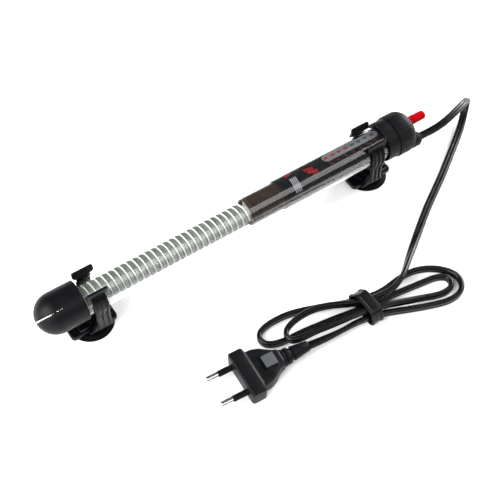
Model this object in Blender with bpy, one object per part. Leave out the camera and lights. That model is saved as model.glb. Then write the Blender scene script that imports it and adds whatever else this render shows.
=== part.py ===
"""Submersible aquarium heater: glass tube heater with suction clips, mains lead and plug.

World frame: metres, +X from the end guard towards the head, +Z up, floor at z = 0 under the
suction cups, origin at the bottom centre of the heater's bounding box (lead and plug left out).
Lengths below are millimetres, measured along X from the tip of the end guard.
"""
import math

import bmesh
import bpy
import numpy as np
from mathutils import Matrix, Vector

for old in list(bpy.data.objects):
    bpy.data.objects.remove(old, do_unlink=True)

MM = 0.001
# ---------------------------------------------------------------- driving dimensions (mm)
LENGTH = 301.0            # guard tip to knob tip
MID_X = LENGTH / 2        # station that sits on the origin
AXIS_Z = 29.0             # height of the tube axis over the floor
GAP = 0.3                 # running gap between neighbouring pieces

GLASS_R, GLASS_BORE_R = 12.0, 10.9
GLASS_NOSE_X, GLASS_END_X = 20.0, 276.0

GUARD_R, GUARD_BORE_R = 13.4, 12.35
GUARD_RIM_X, GUARD_SLOT_END_X, GUARD_SLOT_W = 30.2, 11.4, 1.35
GUARD_VENT_X0, GUARD_VENT_X1, GUARD_VENT_W = 13.2, 18.0, 0.9
GUARD_SLOT_ANGLES = (32.0, 122.0)

CORE_R, CORE_BORE_R = 4.8, 1.6
CORE_X0, CORE_X1 = 27.0, 153.0
COIL_R, COIL_WIRE_R, COIL_TURNS = 6.5, 1.3, 27    # the wire is itself wound into a fine coil
COIL_X0, COIL_X1 = 30.9, 149.3
COIL_STEPS_PER_TURN = 12
RETURN_LEAD_R = 0.7

SLEEVE_R, SLEEVE_BORE_R = 9.4, 8.7
SLEEVE_X0, SLEEVE_X1 = 150.3, 261.6
LABEL_R, LABEL_BORE_R = 10.3, 9.7
LABEL_X0, LABEL_X1 = 176.0, 261.0

SPINDLE_Y, SPINDLE_Z = 2.7, 1.7          # offset of the temperature spindle from the tube axis
SPINDLE_R, SPINDLE_X0, SPINDLE_X1 = 1.2, 218.0, 288.5
GUIDE_Y, GUIDE_Z, GUIDE_R = -3.2, 1.5, 0.6
CARRIAGE_X0, CARRIAGE_X1 = 230.0, 236.0

COLLAR_X0, COLLAR_X1 = 259.0, 268.0
CAP_X0, CAP_SHOULDER_X, CAP_END_X = 268.3, 277.0, 284.5
CAP_R, CAP_END_R, CAP_RIBS, CAP_RIB_DEPTH = 14.7, 7.2, 36, 0.3
BOSS_Y, BOSS_Z, BOSS_R, BOSS_END_X = -7.9, -4.9, 5.2, 288.0
GLAND_R, GLAND_LIP_R, GLAND_END_X = 3.0, 4.0, 289.3
KNOB_HOLE_R, KNOB_R, KNOB_TIP_R = 3.9, 3.5, 3.1

CLIP_X = (38.2, 249.5)                   # clip centres, guard end and head end
RAIL_X = (33.6, 251.5)                   # rail and suction cup centres
CLIP_W, LIP_W = 9.6, 14.5
CLIP_R, CLIP_BORE_R = 14.1, 12.3
RIB_OFFSETS, RIB_W, RIB_H = (-3.4, 0.0, 3.4), 1.2, 0.8
FOOT_Z = 6.7                             # underside of the clip feet over the floor
RAIL_LEN, RAIL_W, RAIL_CORNER_R = 32.0, 17.4, 2.5
RAIL_SHIFT = -1.0                        # the slab's middle from the cup's centre
RAIL_Z0, RAIL_Z1 = 2.9, 6.4
CUP_R, CUP_NECK_R, CUP_HEAD_R = 14.7, 2.5, 3.7

CORD_D = 4.4
TURN_WEIGHT = 0.5                        # how far the lead's points crowd into its bends
PLUG_X, PLUG_Y, PLUG_TURN = 87.0, -89.3, -4.5     # front face centre and heading in plan
PLUG_MID_Z = 6.9
PIN_PITCH, PIN_R, PIN_CORE_R, PIN_SLEEVE_BORE_R = 19.0, 2.0, 1.35, 1.65

# centre line of the mains lead from the head to the plug: (station, y, height over the floor)
CORD_ROUTE = (
    (289.6, -7.9, 24.1), (298, -8.4, 24.4), (307, -8.6, 25.4), (316.5, -7.2, 26), (326, -4.6, 25.8),
    (335, -1.4, 24.4), (342, 2, 21.2), (346.5, 5, 16.4), (347.5, 6, 11), (344.5, 3.4, 6.6),
    (337.5, -2.4, 4.1), (327, -10, 3.1), (310.5, -21, 3), (292, -33, 3), (271.5, -45.5, 3),
    (252.2, -58.5, 3.1), (236.7, -69.5, 4.2), (224.6, -78.5, 6.8), (214, -85.8, 8.6),
    (202.5, -89.8, 9), (190.5, -89.4, 9), (179.5, -86.5, 9), (169.5, -81.8, 9), (160, -77, 8.8),
    (150.5, -74.4, 8.6), (141, -74.2, 8.6), (133, -75.8, 8.6), (127.4, -79.8, 8.6),
    (127.4, -84.4, 8.6), (132.5, -87, 8.8), (142, -88, 8.8), (153, -89.6, 8.8), (164, -91.2, 9),
    (176, -93, 9), (187, -95.8, 8.8), (198, -98.8, 7.4), (208.5, -101.6, 5.4), (218, -104.2, 3.8),
    (227, -107.2, 3.1), (234.5, -108, 3), (239.8, -105.4, 3), (240.6, -100.6, 3), (236.6, -97, 3),
    (228, -94.8, 3), (216, -93, 3), (204, -91.4, 3.2), (192, -90.4, 3.6), (180, -88.8, 3.7),
    (167, -86.2, 3.4), (154, -83.8, 3.1), (141.5, -82, 3), (130, -80.8, 3), (120, -79, 3),
    (114.3, -74.8, 3), (114.6, -69.2, 3), (120, -65.8, 3), (129, -65, 3), (139, -66, 3),
    (149, -69, 3), (159.5, -73, 3), (170, -77.8, 3.4), (180.5, -81.8, 3.7), (191, -84.4, 3.6),
    (202, -84.8, 3.2), (213, -83.5, 3), (224, -83.8, 3), (234.5, -87.6, 3), (243, -94.8, 3),
    (246.8, -103.8, 3), (242.8, -111.8, 3), (233, -114.5, 3), (221, -111.8, 3), (208.5, -107, 3.1),
    (196, -101.8, 3.5), (184, -97.4, 3.7), (172, -95.4, 3.9), (160, -95, 4.6), (149, -94.6, 5.6),
    (140, -94, 6.6), (134.9, -93.4, 7),
)

# ---------------------------------------------------------------- materials
COLOURS = {
    "black_plastic": ((0.03, 0.03, 0.032), 0.0, 0.35),
    "grip_rubber": ((0.025, 0.025, 0.027), 0.0, 0.55),
    "cup_rubber": ((0.035, 0.035, 0.038), 0.0, 0.5),
    "glass": ((0.92, 0.95, 0.95), 0.0, 0.03),
    "ceramic": ((0.55, 0.57, 0.5), 0.0, 0.8),
    "smoked_sleeve": ((0.12, 0.08, 0.06), 0.0, 0.15),
    "label_film": ((0.04, 0.03, 0.03), 0.0, 0.25),
    "wire": ((0.75, 0.75, 0.72), 1.0, 0.3),
    "steel": ((0.6, 0.6, 0.6), 1.0, 0.35),
    "brass": ((0.8, 0.62, 0.3), 1.0, 0.3),
    "silver_contact": ((0.85, 0.85, 0.85), 1.0, 0.2),
    "insulator": ((0.7, 0.6, 0.45), 0.0, 0.7),
    "red_plastic": ((0.75, 0.02, 0.05), 0.0, 0.35),
    "lamp_glass": ((0.9, 0.5, 0.3), 0.0, 0.1),
    "lead_insulation": ((0.6, 0.3, 0.1), 0.0, 0.5),
    "cord_pvc": ((0.02, 0.02, 0.022), 0.0, 0.4),
    "grey_pad": ((0.35, 0.36, 0.37), 0.0, 0.5),
}


def material(node, look):
    """A Principled material of the node's own."""
    colour, metallic, roughness = COLOURS[look]
    mat = bpy.data.materials.new(node + "_" + look)
    mat.use_nodes = True
    shader = mat.node_tree.nodes["Principled BSDF"]
    shader.inputs["Base Color"].default_value = (*colour, 1.0)
    shader.inputs["Metallic"].default_value = metallic
    shader.inputs["Roughness"].default_value = roughness
    return mat


# ---------------------------------------------------------------- building helpers
def world(x, y, height):
    """Millimetres at a station, y, height over the floor -> metres in the world."""
    return Vector(((x - MID_X) * MM, y * MM, height * MM))


def axial(x, y, z):
    """A point given from the tube axis -> metres in the world."""
    return world(x, y, AXIS_Z + z)


def make(name, look, verts, faces, smooth=True, origin=None):
    """One object from world points; normals outward, origin moved to the given point."""
    mesh = bpy.data.meshes.new(name)
    base = Vector((0, 0, 0)) if origin is None else origin
    mesh.from_pydata([tuple(Vector(v) - base) for v in verts], [], faces)
    bm = bmesh.new()
    bm.from_mesh(mesh)
    bmesh.ops.remove_doubles(bm, verts=bm.verts, dist=0.01 * MM)
    bmesh.ops.recalc_face_normals(bm, faces=bm.faces)
    bm.to_mesh(mesh)
    bm.free()
    obj = bpy.data.objects.new(name, mesh)
    obj.location = base
    bpy.context.scene.collection.objects.link(obj)
    obj.data.materials.append(material(name, look))
    if smooth:
        mesh.shade_smooth()
        mesh.set_sharp_from_angle(angle=math.radians(35))
    return obj


def rings_mesh(rings, closed):
    """Faces that join equal rings of points; ends capped, or the last ring joined to the first."""
    count = len(rings[0])
    verts = [p for ring in rings for p in ring]
    faces = []
    spans = len(rings) if closed else len(rings) - 1
    for i in range(spans):
        a, b = i * count, ((i + 1) % len(rings)) * count
        for j in range(count):
            k = (j + 1) % count
            faces.append((a + j, a + k, b + k, b + j))
    if not closed:
        faces.append(tuple(range(count - 1, -1, -1)))
        faces.append(tuple((len(rings) - 1) * count + j for j in range(count)))
    return verts, faces


def turned(name, look, profile, sides, place, origin=None):
    """Turned piece; place(t, c, s) gives the world point at t along the axis, c and s across.
    The profile is (t, radius): tip to tip when both ends lie on the axis, else a closed loop."""
    solid = profile[0][1] == 0 and profile[-1][1] == 0
    inner = profile[1:-1] if solid else profile
    rings = []
    for t, r in inner:
        angles = [2 * math.pi * i / sides for i in range(sides)]
        rings.append([place(t, r * math.cos(a), r * math.sin(a)) for a in angles])
    verts, faces = rings_mesh(rings, closed=not solid)
    if solid:
        faces = faces[:-2]
        for t, start in ((profile[0][0], 0), (profile[-1][0], (len(rings) - 1) * sides)):
            verts.append(place(t, 0, 0))
            tip = len(verts) - 1
            faces += [(tip, start + (j + 1) % sides, start + j) for j in range(sides)]
    return make(name, look, verts, faces, origin=origin)


def lathe(name, look, profile, sides=32, y=0.0, z=0.0, origin=None):
    """Turned about a line parallel to X, offset (y, z) from the tube axis."""
    return turned(name, look, profile, sides, lambda t, c, s: axial(t, y + c, z + s), origin)


def lathe_up(name, look, profile, sides, x, y, origin=None):
    """Turned about a vertical line; profile heights are over the floor."""
    return turned(name, look, profile, sides, lambda t, c, s: world(x + c, y + s, t), origin)


def disc_profile(x0, x1, r):
    """A plain cylinder as a lathe profile."""
    return [(x0, 0), (x0, r), (x1, r), (x1, 0)]


def ring_profile(x0, x1, r_in, r_out):
    """A plain ring as a lathe profile."""
    return [(x0, r_in), (x0, r_out), (x1, r_out), (x1, r_in)]


def arc(cx, cr, r, start, end, steps):
    """Points (station, radius) on a circle in the profile plane, angles from +X in degrees."""
    pts = []
    for i in range(steps + 1):
        a = math.radians(start + (end - start) * i / steps)
        pts.append((cx + r * math.cos(a), max(cr + r * math.sin(a), 0.0)))
    return pts


def extrude_x(name, look, outline, x0, x1, smooth=False, origin=None):
    """Prism along X from an outline of (y, z) measured from the tube axis."""
    rings = [[axial(x, y, z) for y, z in outline] for x in (x0, x1)]
    return make(name, look, *rings_mesh(rings, closed=False), smooth=smooth, origin=origin)


def extrude_z(name, look, outline, z0, z1, smooth=False, origin=None):
    """Prism along Z from an outline of (station, y); heights are over the floor."""
    rings = [[world(x, y, z) for x, y in outline] for z in (z0, z1)]
    return make(name, look, *rings_mesh(rings, closed=False), smooth=smooth, origin=origin)


def extrude_y(name, look, outline, y0, y1):
    """Prism along Y from an outline of (station, z); z and y are measured from the tube axis."""
    rings = [[axial(x, y, z) for x, z in outline] for y in (y0, y1)]
    return make(name, look, *rings_mesh(rings, closed=False), smooth=False)


def box_points(y0, y1, z0, z1):
    return [(y0, z0), (y1, z0), (y1, z1), (y0, z1)]


def box(name, look, x0, x1, y0, y1, z0, z1, origin=None):
    """Block measured from the tube axis."""
    return extrude_x(name, look, box_points(y0, y1, z0, z1), x0, x1, origin=origin)


def sweep(name, look, points, radius, sides=8, origin=None):
    """Round wire through world points, with flat ends."""
    pts = [Vector(p) for p in points]
    rings = []
    normal = None
    for i, p in enumerate(pts):
        ahead = pts[min(i + 1, len(pts) - 1)] - pts[max(i - 1, 0)]
        tangent = ahead.normalized()
        if normal is None:
            seed = Vector((0, 0, 1)) if abs(tangent.z) < 0.9 else Vector((0, 1, 0))
            normal = seed.cross(tangent).normalized()
        normal = (normal - tangent * normal.dot(tangent)).normalized()
        other = tangent.cross(normal)
        ring = []
        for j in range(sides):
            a = 2 * math.pi * j / sides
            ring.append(p + (normal * math.cos(a) + other * math.sin(a)) * radius * MM)
        rings.append(ring)
    return make(name, look, *rings_mesh(rings, closed=False), origin=origin)


def smooth_curve(points, samples):
    """Natural cubic spline through the points, read more closely where it turns."""
    pts = np.array(points, dtype=float)
    n = len(pts)
    t = np.concatenate(([0.0], np.cumsum(np.linalg.norm(np.diff(pts, axis=0), axis=1))))
    h = np.diff(t)
    system = np.eye(n)
    right = np.zeros((n, 3))
    for i in range(1, n - 1):
        system[i, i - 1:i + 2] = (h[i - 1], 2 * (h[i - 1] + h[i]), h[i])
        right[i] = 6 * ((pts[i + 1] - pts[i]) / h[i] - (pts[i] - pts[i - 1]) / h[i - 1])
    second = np.linalg.solve(system, right)

    def at(s):
        i = int(min(max(np.searchsorted(t, s) - 1, 0), n - 2))
        a, b = (t[i + 1] - s) / h[i], (s - t[i]) / h[i]
        bend = ((a ** 3 - a) * second[i] + (b ** 3 - b) * second[i + 1]) * h[i] ** 2 / 6
        return a * pts[i] + b * pts[i + 1] + bend

    fine = np.array([at(s) for s in np.linspace(0, t[-1], 4000)])
    steps = np.diff(fine, axis=0)
    lengths = np.linalg.norm(steps, axis=1)
    heading = steps / lengths[:, None]
    turning = np.arccos(np.clip(np.sum(heading[1:] * heading[:-1], axis=1), -1, 1))
    turning = np.concatenate(([0.0], turning))
    weight = lengths / lengths.sum() + TURN_WEIGHT * turning / turning.sum()
    run = np.concatenate(([0.0], np.cumsum(weight)))
    even = np.linspace(0, run[-1], samples)
    return np.stack([np.interp(even, run, fine[:, k]) for k in range(3)], axis=1)


def combine(obj, cutters, operation="DIFFERENCE"):
    """Apply boolean modifiers and drop the tools."""
    for tool in cutters:
        mod = obj.modifiers.new("boolean", "BOOLEAN")
        mod.operation = operation
        mod.solver = "EXACT"
        mod.object = tool
    bpy.context.view_layer.update()
    graph = bpy.context.evaluated_depsgraph_get()
    result = bpy.data.meshes.new_from_object(obj.evaluated_get(graph))
    looks = list(obj.data.materials)
    obj.modifiers.clear()
    former = obj.data
    obj.data = result
    bpy.data.meshes.remove(former)
    obj.data.name = obj.name
    obj.data.materials.clear()
    obj.data.materials.append(looks[0])
    bm = bmesh.new()
    bm.from_mesh(obj.data)
    for face in bm.faces:
        face.material_index = 0
    bmesh.ops.remove_doubles(bm, verts=bm.verts, dist=0.005 * MM)
    bmesh.ops.dissolve_degenerate(bm, edges=bm.edges, dist=0.002 * MM)
    bmesh.ops.triangulate(bm, faces=[f for f in bm.faces if len(f.verts) > 4])
    bm.to_mesh(obj.data)
    bm.free()
    for tool in cutters:
        mesh = tool.data
        bpy.data.objects.remove(tool, do_unlink=True)
        bpy.data.meshes.remove(mesh)
    return obj


def rod_cutter(x0, x1, y, z, r, sides=16):
    """Round cutter parallel to X."""
    return lathe("cutter", "steel", disc_profile(x0, x1, r), sides, y, z)


# ---------------------------------------------------------------- glass tube and end guard
def domed_tube(name, look, nose_x, r_out, r_in, end_x, sides, steps):
    """Tube closed by a round nose at its low-X end."""
    outer = arc(nose_x, 0, r_out, 180, 90, steps)
    inner = arc(nose_x, 0, r_in, 90, 180, steps)
    return lathe(name, look, outer + [(end_x, r_out), (end_x, r_in)] + inner, sides)


domed_tube("glass_tube", "glass", GLASS_NOSE_X, GLASS_R, GLASS_BORE_R, GLASS_END_X, 32, 6)

GUARD_NOSE_X = GUARD_R                   # the guard's tip is station 0
end_guard = domed_tube("end_guard", "grip_rubber", GUARD_NOSE_X, GUARD_R, GUARD_BORE_R,
                       GUARD_RIM_X, 32, 6)


def slot_cutter(degrees, width, x0, x1):
    """Flat cutter through the guard on both sides of its axis."""
    turn = math.radians(degrees)
    along = Vector((math.cos(turn), math.sin(turn))) * 2 * GUARD_R
    across = Vector((-math.sin(turn), math.cos(turn))) * width / 2
    outline = [along + across, -along + across, -along - across, along - across]
    return extrude_x("cutter", "steel", [(p.x, p.y) for p in outline], x0, x1)


first, second = [slot_cutter(a, GUARD_SLOT_W, -5.0, GUARD_SLOT_END_X) for a in GUARD_SLOT_ANGLES]
combine(first, [second], "UNION")
combine(end_guard, [first])
first, second = [slot_cutter(a, GUARD_VENT_W, GUARD_VENT_X0, GUARD_VENT_X1)
                 for a in GUARD_SLOT_ANGLES]
combine(first, [second], "UNION")
combine(end_guard, [first])

# ---------------------------------------------------------------- heating element
lathe("ceramic_core", "ceramic", ring_profile(CORE_X0, CORE_X1, CORE_BORE_R, CORE_R), 24)
coil_points = []
for step in range(COIL_TURNS * COIL_STEPS_PER_TURN + 1):
    share = step / (COIL_TURNS * COIL_STEPS_PER_TURN)
    angle = 2 * math.pi * COIL_TURNS * share
    coil_points.append(axial(COIL_X0 + (COIL_X1 - COIL_X0) * share,
                             COIL_R * math.cos(angle), COIL_R * math.sin(angle)))
sweep("heating_coil", "wire", coil_points, COIL_WIRE_R, sides=5)
BAND_BORE_R, BAND_R = CORE_R + GAP, CORE_R + 0.9
lathe("terminal_band_front", "steel", ring_profile(27.3, 29.2, BAND_BORE_R, BAND_R), 24)
lathe("terminal_band_rear", "steel", ring_profile(151.0, 152.7, BAND_BORE_R, BAND_R), 24)
lathe("core_disc_front", "steel", ring_profile(25.4, 26.7, 1.1, 9.8), 28)
lathe("core_disc_rear", "insulator", ring_profile(153.3, 154.3, 1.1, 8.4), 28)
lathe("return_lead", "wire", disc_profile(24.0, 159.4, RETURN_LEAD_R), 10)

# ---------------------------------------------------------------- thermostat housing
lathe("thermostat_sleeve", "smoked_sleeve",
      ring_profile(SLEEVE_X0, SLEEVE_X1, SLEEVE_BORE_R, SLEEVE_R), 32)
lathe("label_wrap", "label_film", ring_profile(LABEL_X0, LABEL_X1, LABEL_BORE_R, LABEL_R), 36)

PLATE_Z0, PLATE_Z1, PLATE_HALF_W = -5.2, -4.4, 4.5
PLATE_X0, PLATE_X1 = 160.0, 258.0
BRACKET_T, BRACKET_TOP_Z, BRACKET_X = 0.8, 4.0, (219.0, 250.0)
WINDOW_HALF_W, WINDOW_TOP_Z = 3.1, -1.0
plate_section = box_points(-PLATE_HALF_W, PLATE_HALF_W, PLATE_Z0, PLATE_Z1)
frame = extrude_x("thermostat_frame", "steel", plate_section, PLATE_X0, PLATE_X1)
end_wall = box("wall", "steel", PLATE_X0, PLATE_X0 + BRACKET_T,
               -PLATE_HALF_W, PLATE_HALF_W, PLATE_Z0, 2.0)
portal_section = [(-PLATE_HALF_W, PLATE_Z0), (-WINDOW_HALF_W, PLATE_Z0),
                  (-WINDOW_HALF_W, WINDOW_TOP_Z), (WINDOW_HALF_W, WINDOW_TOP_Z),
                  (WINDOW_HALF_W, PLATE_Z0), (PLATE_HALF_W, PLATE_Z0),
                  (PLATE_HALF_W, BRACKET_TOP_Z), (-PLATE_HALF_W, BRACKET_TOP_Z)]
tee_section = [(-1.8, PLATE_Z0), (1.8, PLATE_Z0), (1.8, WINDOW_TOP_Z),
               (PLATE_HALF_W, WINDOW_TOP_Z), (PLATE_HALF_W, BRACKET_TOP_Z),
               (-PLATE_HALF_W, BRACKET_TOP_Z), (-PLATE_HALF_W, WINDOW_TOP_Z),
               (-1.8, WINDOW_TOP_Z)]
portal = extrude_x("portal", "steel", portal_section, BRACKET_X[0], BRACKET_X[0] + BRACKET_T)
tee = extrude_x("tee", "steel", tee_section, BRACKET_X[1], BRACKET_X[1] + BRACKET_T)
combine(frame, [end_wall, portal, tee], "UNION")
combine(frame, [rod_cutter(210, 260, SPINDLE_Y, SPINDLE_Z, 1.6),
                rod_cutter(210, 260, GUIDE_Y, GUIDE_Z, GUIDE_R + GAP)])

box("bimetal_block", "insulator", 164, 172, -4.0, 4.0, PLATE_Z1 + GAP, -0.5)
box("bimetal_strip", "brass", 164, 216, -3.0, 3.0, -0.2, 0.3)
CONTACT_X = 212.0
lathe_up("contact_moving", "silver_contact",
         disc_profile(AXIS_Z - 1.3, AXIS_Z - 0.5, 1.2), 12, CONTACT_X, 0.0)
lathe_up("contact_fixed", "silver_contact",
         disc_profile(AXIS_Z - 2.4, AXIS_Z - 1.6, 1.2), 12, CONTACT_X, 0.0)
box("contact_blade", "brass", 207, 230, -2.5, 2.5, -3.2, -2.7)
box("blade_block", "insulator", 221, 230, -2.5, 2.5, PLATE_Z1 + GAP, -3.5)
box("magnet", "steel", 199, 204, -2.0, 2.0, PLATE_Z1 + GAP, -0.9)
lathe("guide_rod", "steel", disc_profile(217.5, 252.5, GUIDE_R), 10, GUIDE_Y, GUIDE_Z)
lathe("neon_lamp", "lamp_glass",
      [(175.0, 0)] + arc(177.0, 0.2, 2.0, 180, 90, 3) + [(190.5, 2.2), (191.8, 1.2), (191.8, 0)],
      14, 0.0, 4.0)
lathe("lamp_resistor", "insulator",
      [(197.0, 0), (197.0, 0.8), (197.4, 1.1), (202.6, 1.1), (203.0, 0.8), (203.0, 0)],
      12, 1.5, 4.0)
LAMP_LEAD_R = 0.3
sweep("lamp_lead", "wire",
      [axial(192.2, 0.8, 4.2), axial(194.5, 1.2, 4.1), axial(196.6, 1.5, 4.0)], LAMP_LEAD_R, 6)
sweep("lamp_return_lead", "wire",
      [axial(192.2, -0.8, 4.0), axial(194.0, -2.4, 3.9), axial(195.4, -3.8, 3.0),
       axial(195.6, -3.9, -3.8)], LAMP_LEAD_R, 6)
sweep("resistor_lead", "wire",
      [axial(203.4, 1.5, 4.0), axial(205.6, 2.6, 3.8), axial(207.2, 3.8, 2.8),
       axial(207.4, 3.9, -3.8)], LAMP_LEAD_R, 6)

LEAD_R = 0.6
LIVE_HOLE, NEUTRAL_HOLE = (-6.7, -2.9), (-5.6, -5.4)      # where the leads pass the stopper
sweep("lead_live", "lead_insulation",
      [axial(279.2, *LIVE_HOLE), axial(261, *LIVE_HOLE), axial(255, -5.6, -1.9),
       axial(246, -4.2, -1.8), axial(238, -2.6, -2.5), axial(231.2, -1.0, -2.95)], LEAD_R, 8)
sweep("lead_neutral", "lead_insulation",
      [axial(279.2, *NEUTRAL_HOLE), axial(261, *NEUTRAL_HOLE), axial(255, -6.1, -4.5),
       axial(248, -6.2, -4.2), axial(154.9, -6.2, -4.2)], LEAD_R, 8)

carriage_section = [(-4.5, 0.3), (0.6, 0.3), (0.6, -0.4), (5.0, -0.4), (5.0, 3.8), (3.4, 3.8),
                    (3.4, 6.4), (2.0, 6.4), (2.0, 3.8), (0.6, 3.8), (0.6, 2.7), (-4.5, 2.7)]
carriage_home = axial((CARRIAGE_X0 + CARRIAGE_X1) / 2, SPINDLE_Y, SPINDLE_Z)
carriage = extrude_x("pointer_carriage", "insulator", carriage_section,
                     CARRIAGE_X0, CARRIAGE_X1, origin=carriage_home)
combine(carriage, [rod_cutter(225, 240, SPINDLE_Y, SPINDLE_Z, SPINDLE_R + GAP),
                   rod_cutter(225, 240, GUIDE_Y, GUIDE_Z, GUIDE_R + GAP)])

# ---------------------------------------------------------------- head: stopper, cap, knob
spindle_home = axial(SPINDLE_X1, SPINDLE_Y, SPINDLE_Z)
lathe("adjust_spindle", "steel", disc_profile(SPINDLE_X0, SPINDLE_X1, SPINDLE_R), 14,
      SPINDLE_Y, SPINDLE_Z, origin=spindle_home)
STOPPER_X0, FLANGE_X0, FLANGE_X1 = 262.0, 276.3, 279.0
stopper = lathe("rubber_stopper", "grip_rubber",
                [(STOPPER_X0, 0), (STOPPER_X0, 10.2), (STOPPER_X0 + 0.6, 10.6),
                 (FLANGE_X0, 10.6), (FLANGE_X0, 12.0), (FLANGE_X1, 12.0), (FLANGE_X1, 0)], 32)
combine(stopper, [rod_cutter(255, 285, SPINDLE_Y, SPINDLE_Z, SPINDLE_R + 0.4),
                  rod_cutter(255, 285, *LIVE_HOLE, LEAD_R + GAP, 12),
                  rod_cutter(255, 285, *NEUTRAL_HOLE, LEAD_R + GAP, 12)])
lathe("spindle_oring", "cup_rubber", arc(279.95, 2.2, 0.7, 0, 315, 7), 16,
      SPINDLE_Y, SPINDLE_Z)
lathe("head_collar", "grip_rubber",
      [(COLLAR_X0, 12.3), (COLLAR_X0, 13.2), (COLLAR_X0 + 0.6, 13.8), (COLLAR_X1, 13.8),
       (COLLAR_X1, 12.3)], 40)


def ribbed_ring(x, r, depth):
    """One ring of the cap: corners alternate between rib tops and valleys."""
    ring = []
    for i in range(2 * CAP_RIBS):
        a = math.pi * i / CAP_RIBS
        radius = r - depth * (i % 2)
        ring.append(axial(x, radius * math.cos(a), radius * math.sin(a)))
    return ring


edge_r = CAP_R - CAP_END_R
cap_rings = [ribbed_ring(CAP_X0, CAP_R - 0.5, 0), ribbed_ring(CAP_X0 + 0.6, CAP_R, CAP_RIB_DEPTH)]
for x, r in arc(CAP_SHOULDER_X, CAP_END_R, edge_r, 90, 0, 5):
    fade = (x - CAP_SHOULDER_X) / edge_r
    cap_rings.append(ribbed_ring(x, r, CAP_RIB_DEPTH * (1 - fade)))
ROOF_X = 282.2
cap_rings += [ribbed_ring(ROOF_X, 10.2, 0), ribbed_ring(279.6, 12.4, 0), ribbed_ring(CAP_X0, 12.4, 0)]
cap_verts, cap_faces = rings_mesh(cap_rings, closed=True)
count = 2 * CAP_RIBS
top_ring, roof_ring = 7, 8
end_face = tuple(range(top_ring * count, (top_ring + 1) * count))
roof_face = tuple(range((roof_ring + 1) * count - 1, roof_ring * count - 1, -1))
cap_faces = [f for f in cap_faces if not (min(f) < roof_ring * count <= max(f)
                                          and min(f) >= top_ring * count)]
head_cap = make("head_cap", "grip_rubber", cap_verts, cap_faces + [end_face, roof_face])
boss = lathe("boss", "grip_rubber",
             [(280.0, 0), (280.0, BOSS_R), (BOSS_END_X - 0.8, BOSS_R),
              (BOSS_END_X, BOSS_R - 0.8), (BOSS_END_X, 0)], 24, BOSS_Y, BOSS_Z)
combine(head_cap, [boss], "UNION")
combine(head_cap, [rod_cutter(270, 300, BOSS_Y, BOSS_Z, GLAND_R + GAP, 20),
                   rod_cutter(270, 300, SPINDLE_Y, SPINDLE_Z, KNOB_HOLE_R, 24)])
lathe("cord_gland", "cup_rubber",
      [(279.6, 0), (279.6, GLAND_R), (BOSS_END_X + GAP, GLAND_R), (BOSS_END_X + GAP, GLAND_LIP_R),
       (GLAND_END_X - 0.3, GLAND_LIP_R), (GLAND_END_X, GLAND_LIP_R - 0.4), (GLAND_END_X, 0)],
      20, BOSS_Y, BOSS_Z)
KNOB_X0, KNOB_FLANGE_R, KNOB_BORE_R, KNOB_BORE_X = 280.95, 4.6, 1.5, 289.0
knob_end = arc(LENGTH - 1.4, KNOB_TIP_R - 1.4, 1.4, 90, 0, 4)
lathe("adjust_knob", "red_plastic",
      [(KNOB_BORE_X, 0), (KNOB_BORE_X, KNOB_BORE_R), (KNOB_X0, KNOB_BORE_R),
       (KNOB_X0, KNOB_FLANGE_R), (281.85, KNOB_FLANGE_R), (281.85, KNOB_R)] + knob_end
      + [(LENGTH, 0)], 24, SPINDLE_Y, SPINDLE_Z, origin=spindle_home)

# ---------------------------------------------------------------- clips, rails and suction cups
LIP_Y0, LIP_Z1 = 8.0, 14.3
LEG_Y, LEG_BORE_Y = 12.3, 10.9
BASE_Z0, BASE_Z1 = -18.7, -17.2          # base plate of the clip, from the tube axis
FOOT_BOTTOM, FOOT_TOP = FOOT_Z - AXIS_Z, FOOT_Z - AXIS_Z + 1.2
CHANNEL_HALF_W, FOOT_BORE_Y = 8.6, 6.6
FLARE_BACK, FLARE_AHEAD, FLARE_Y = 10.6, 6.4, (8.9, 12.2)    # reach of each foot along the rail
FLARE_EDGE, FLARE_R = 1.2, 6.0           # height of the foot's end, and the fillet up to the leg


def ring_point(radius, degrees):
    a = math.radians(degrees)
    return (radius * math.cos(a), radius * math.sin(a))


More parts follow.
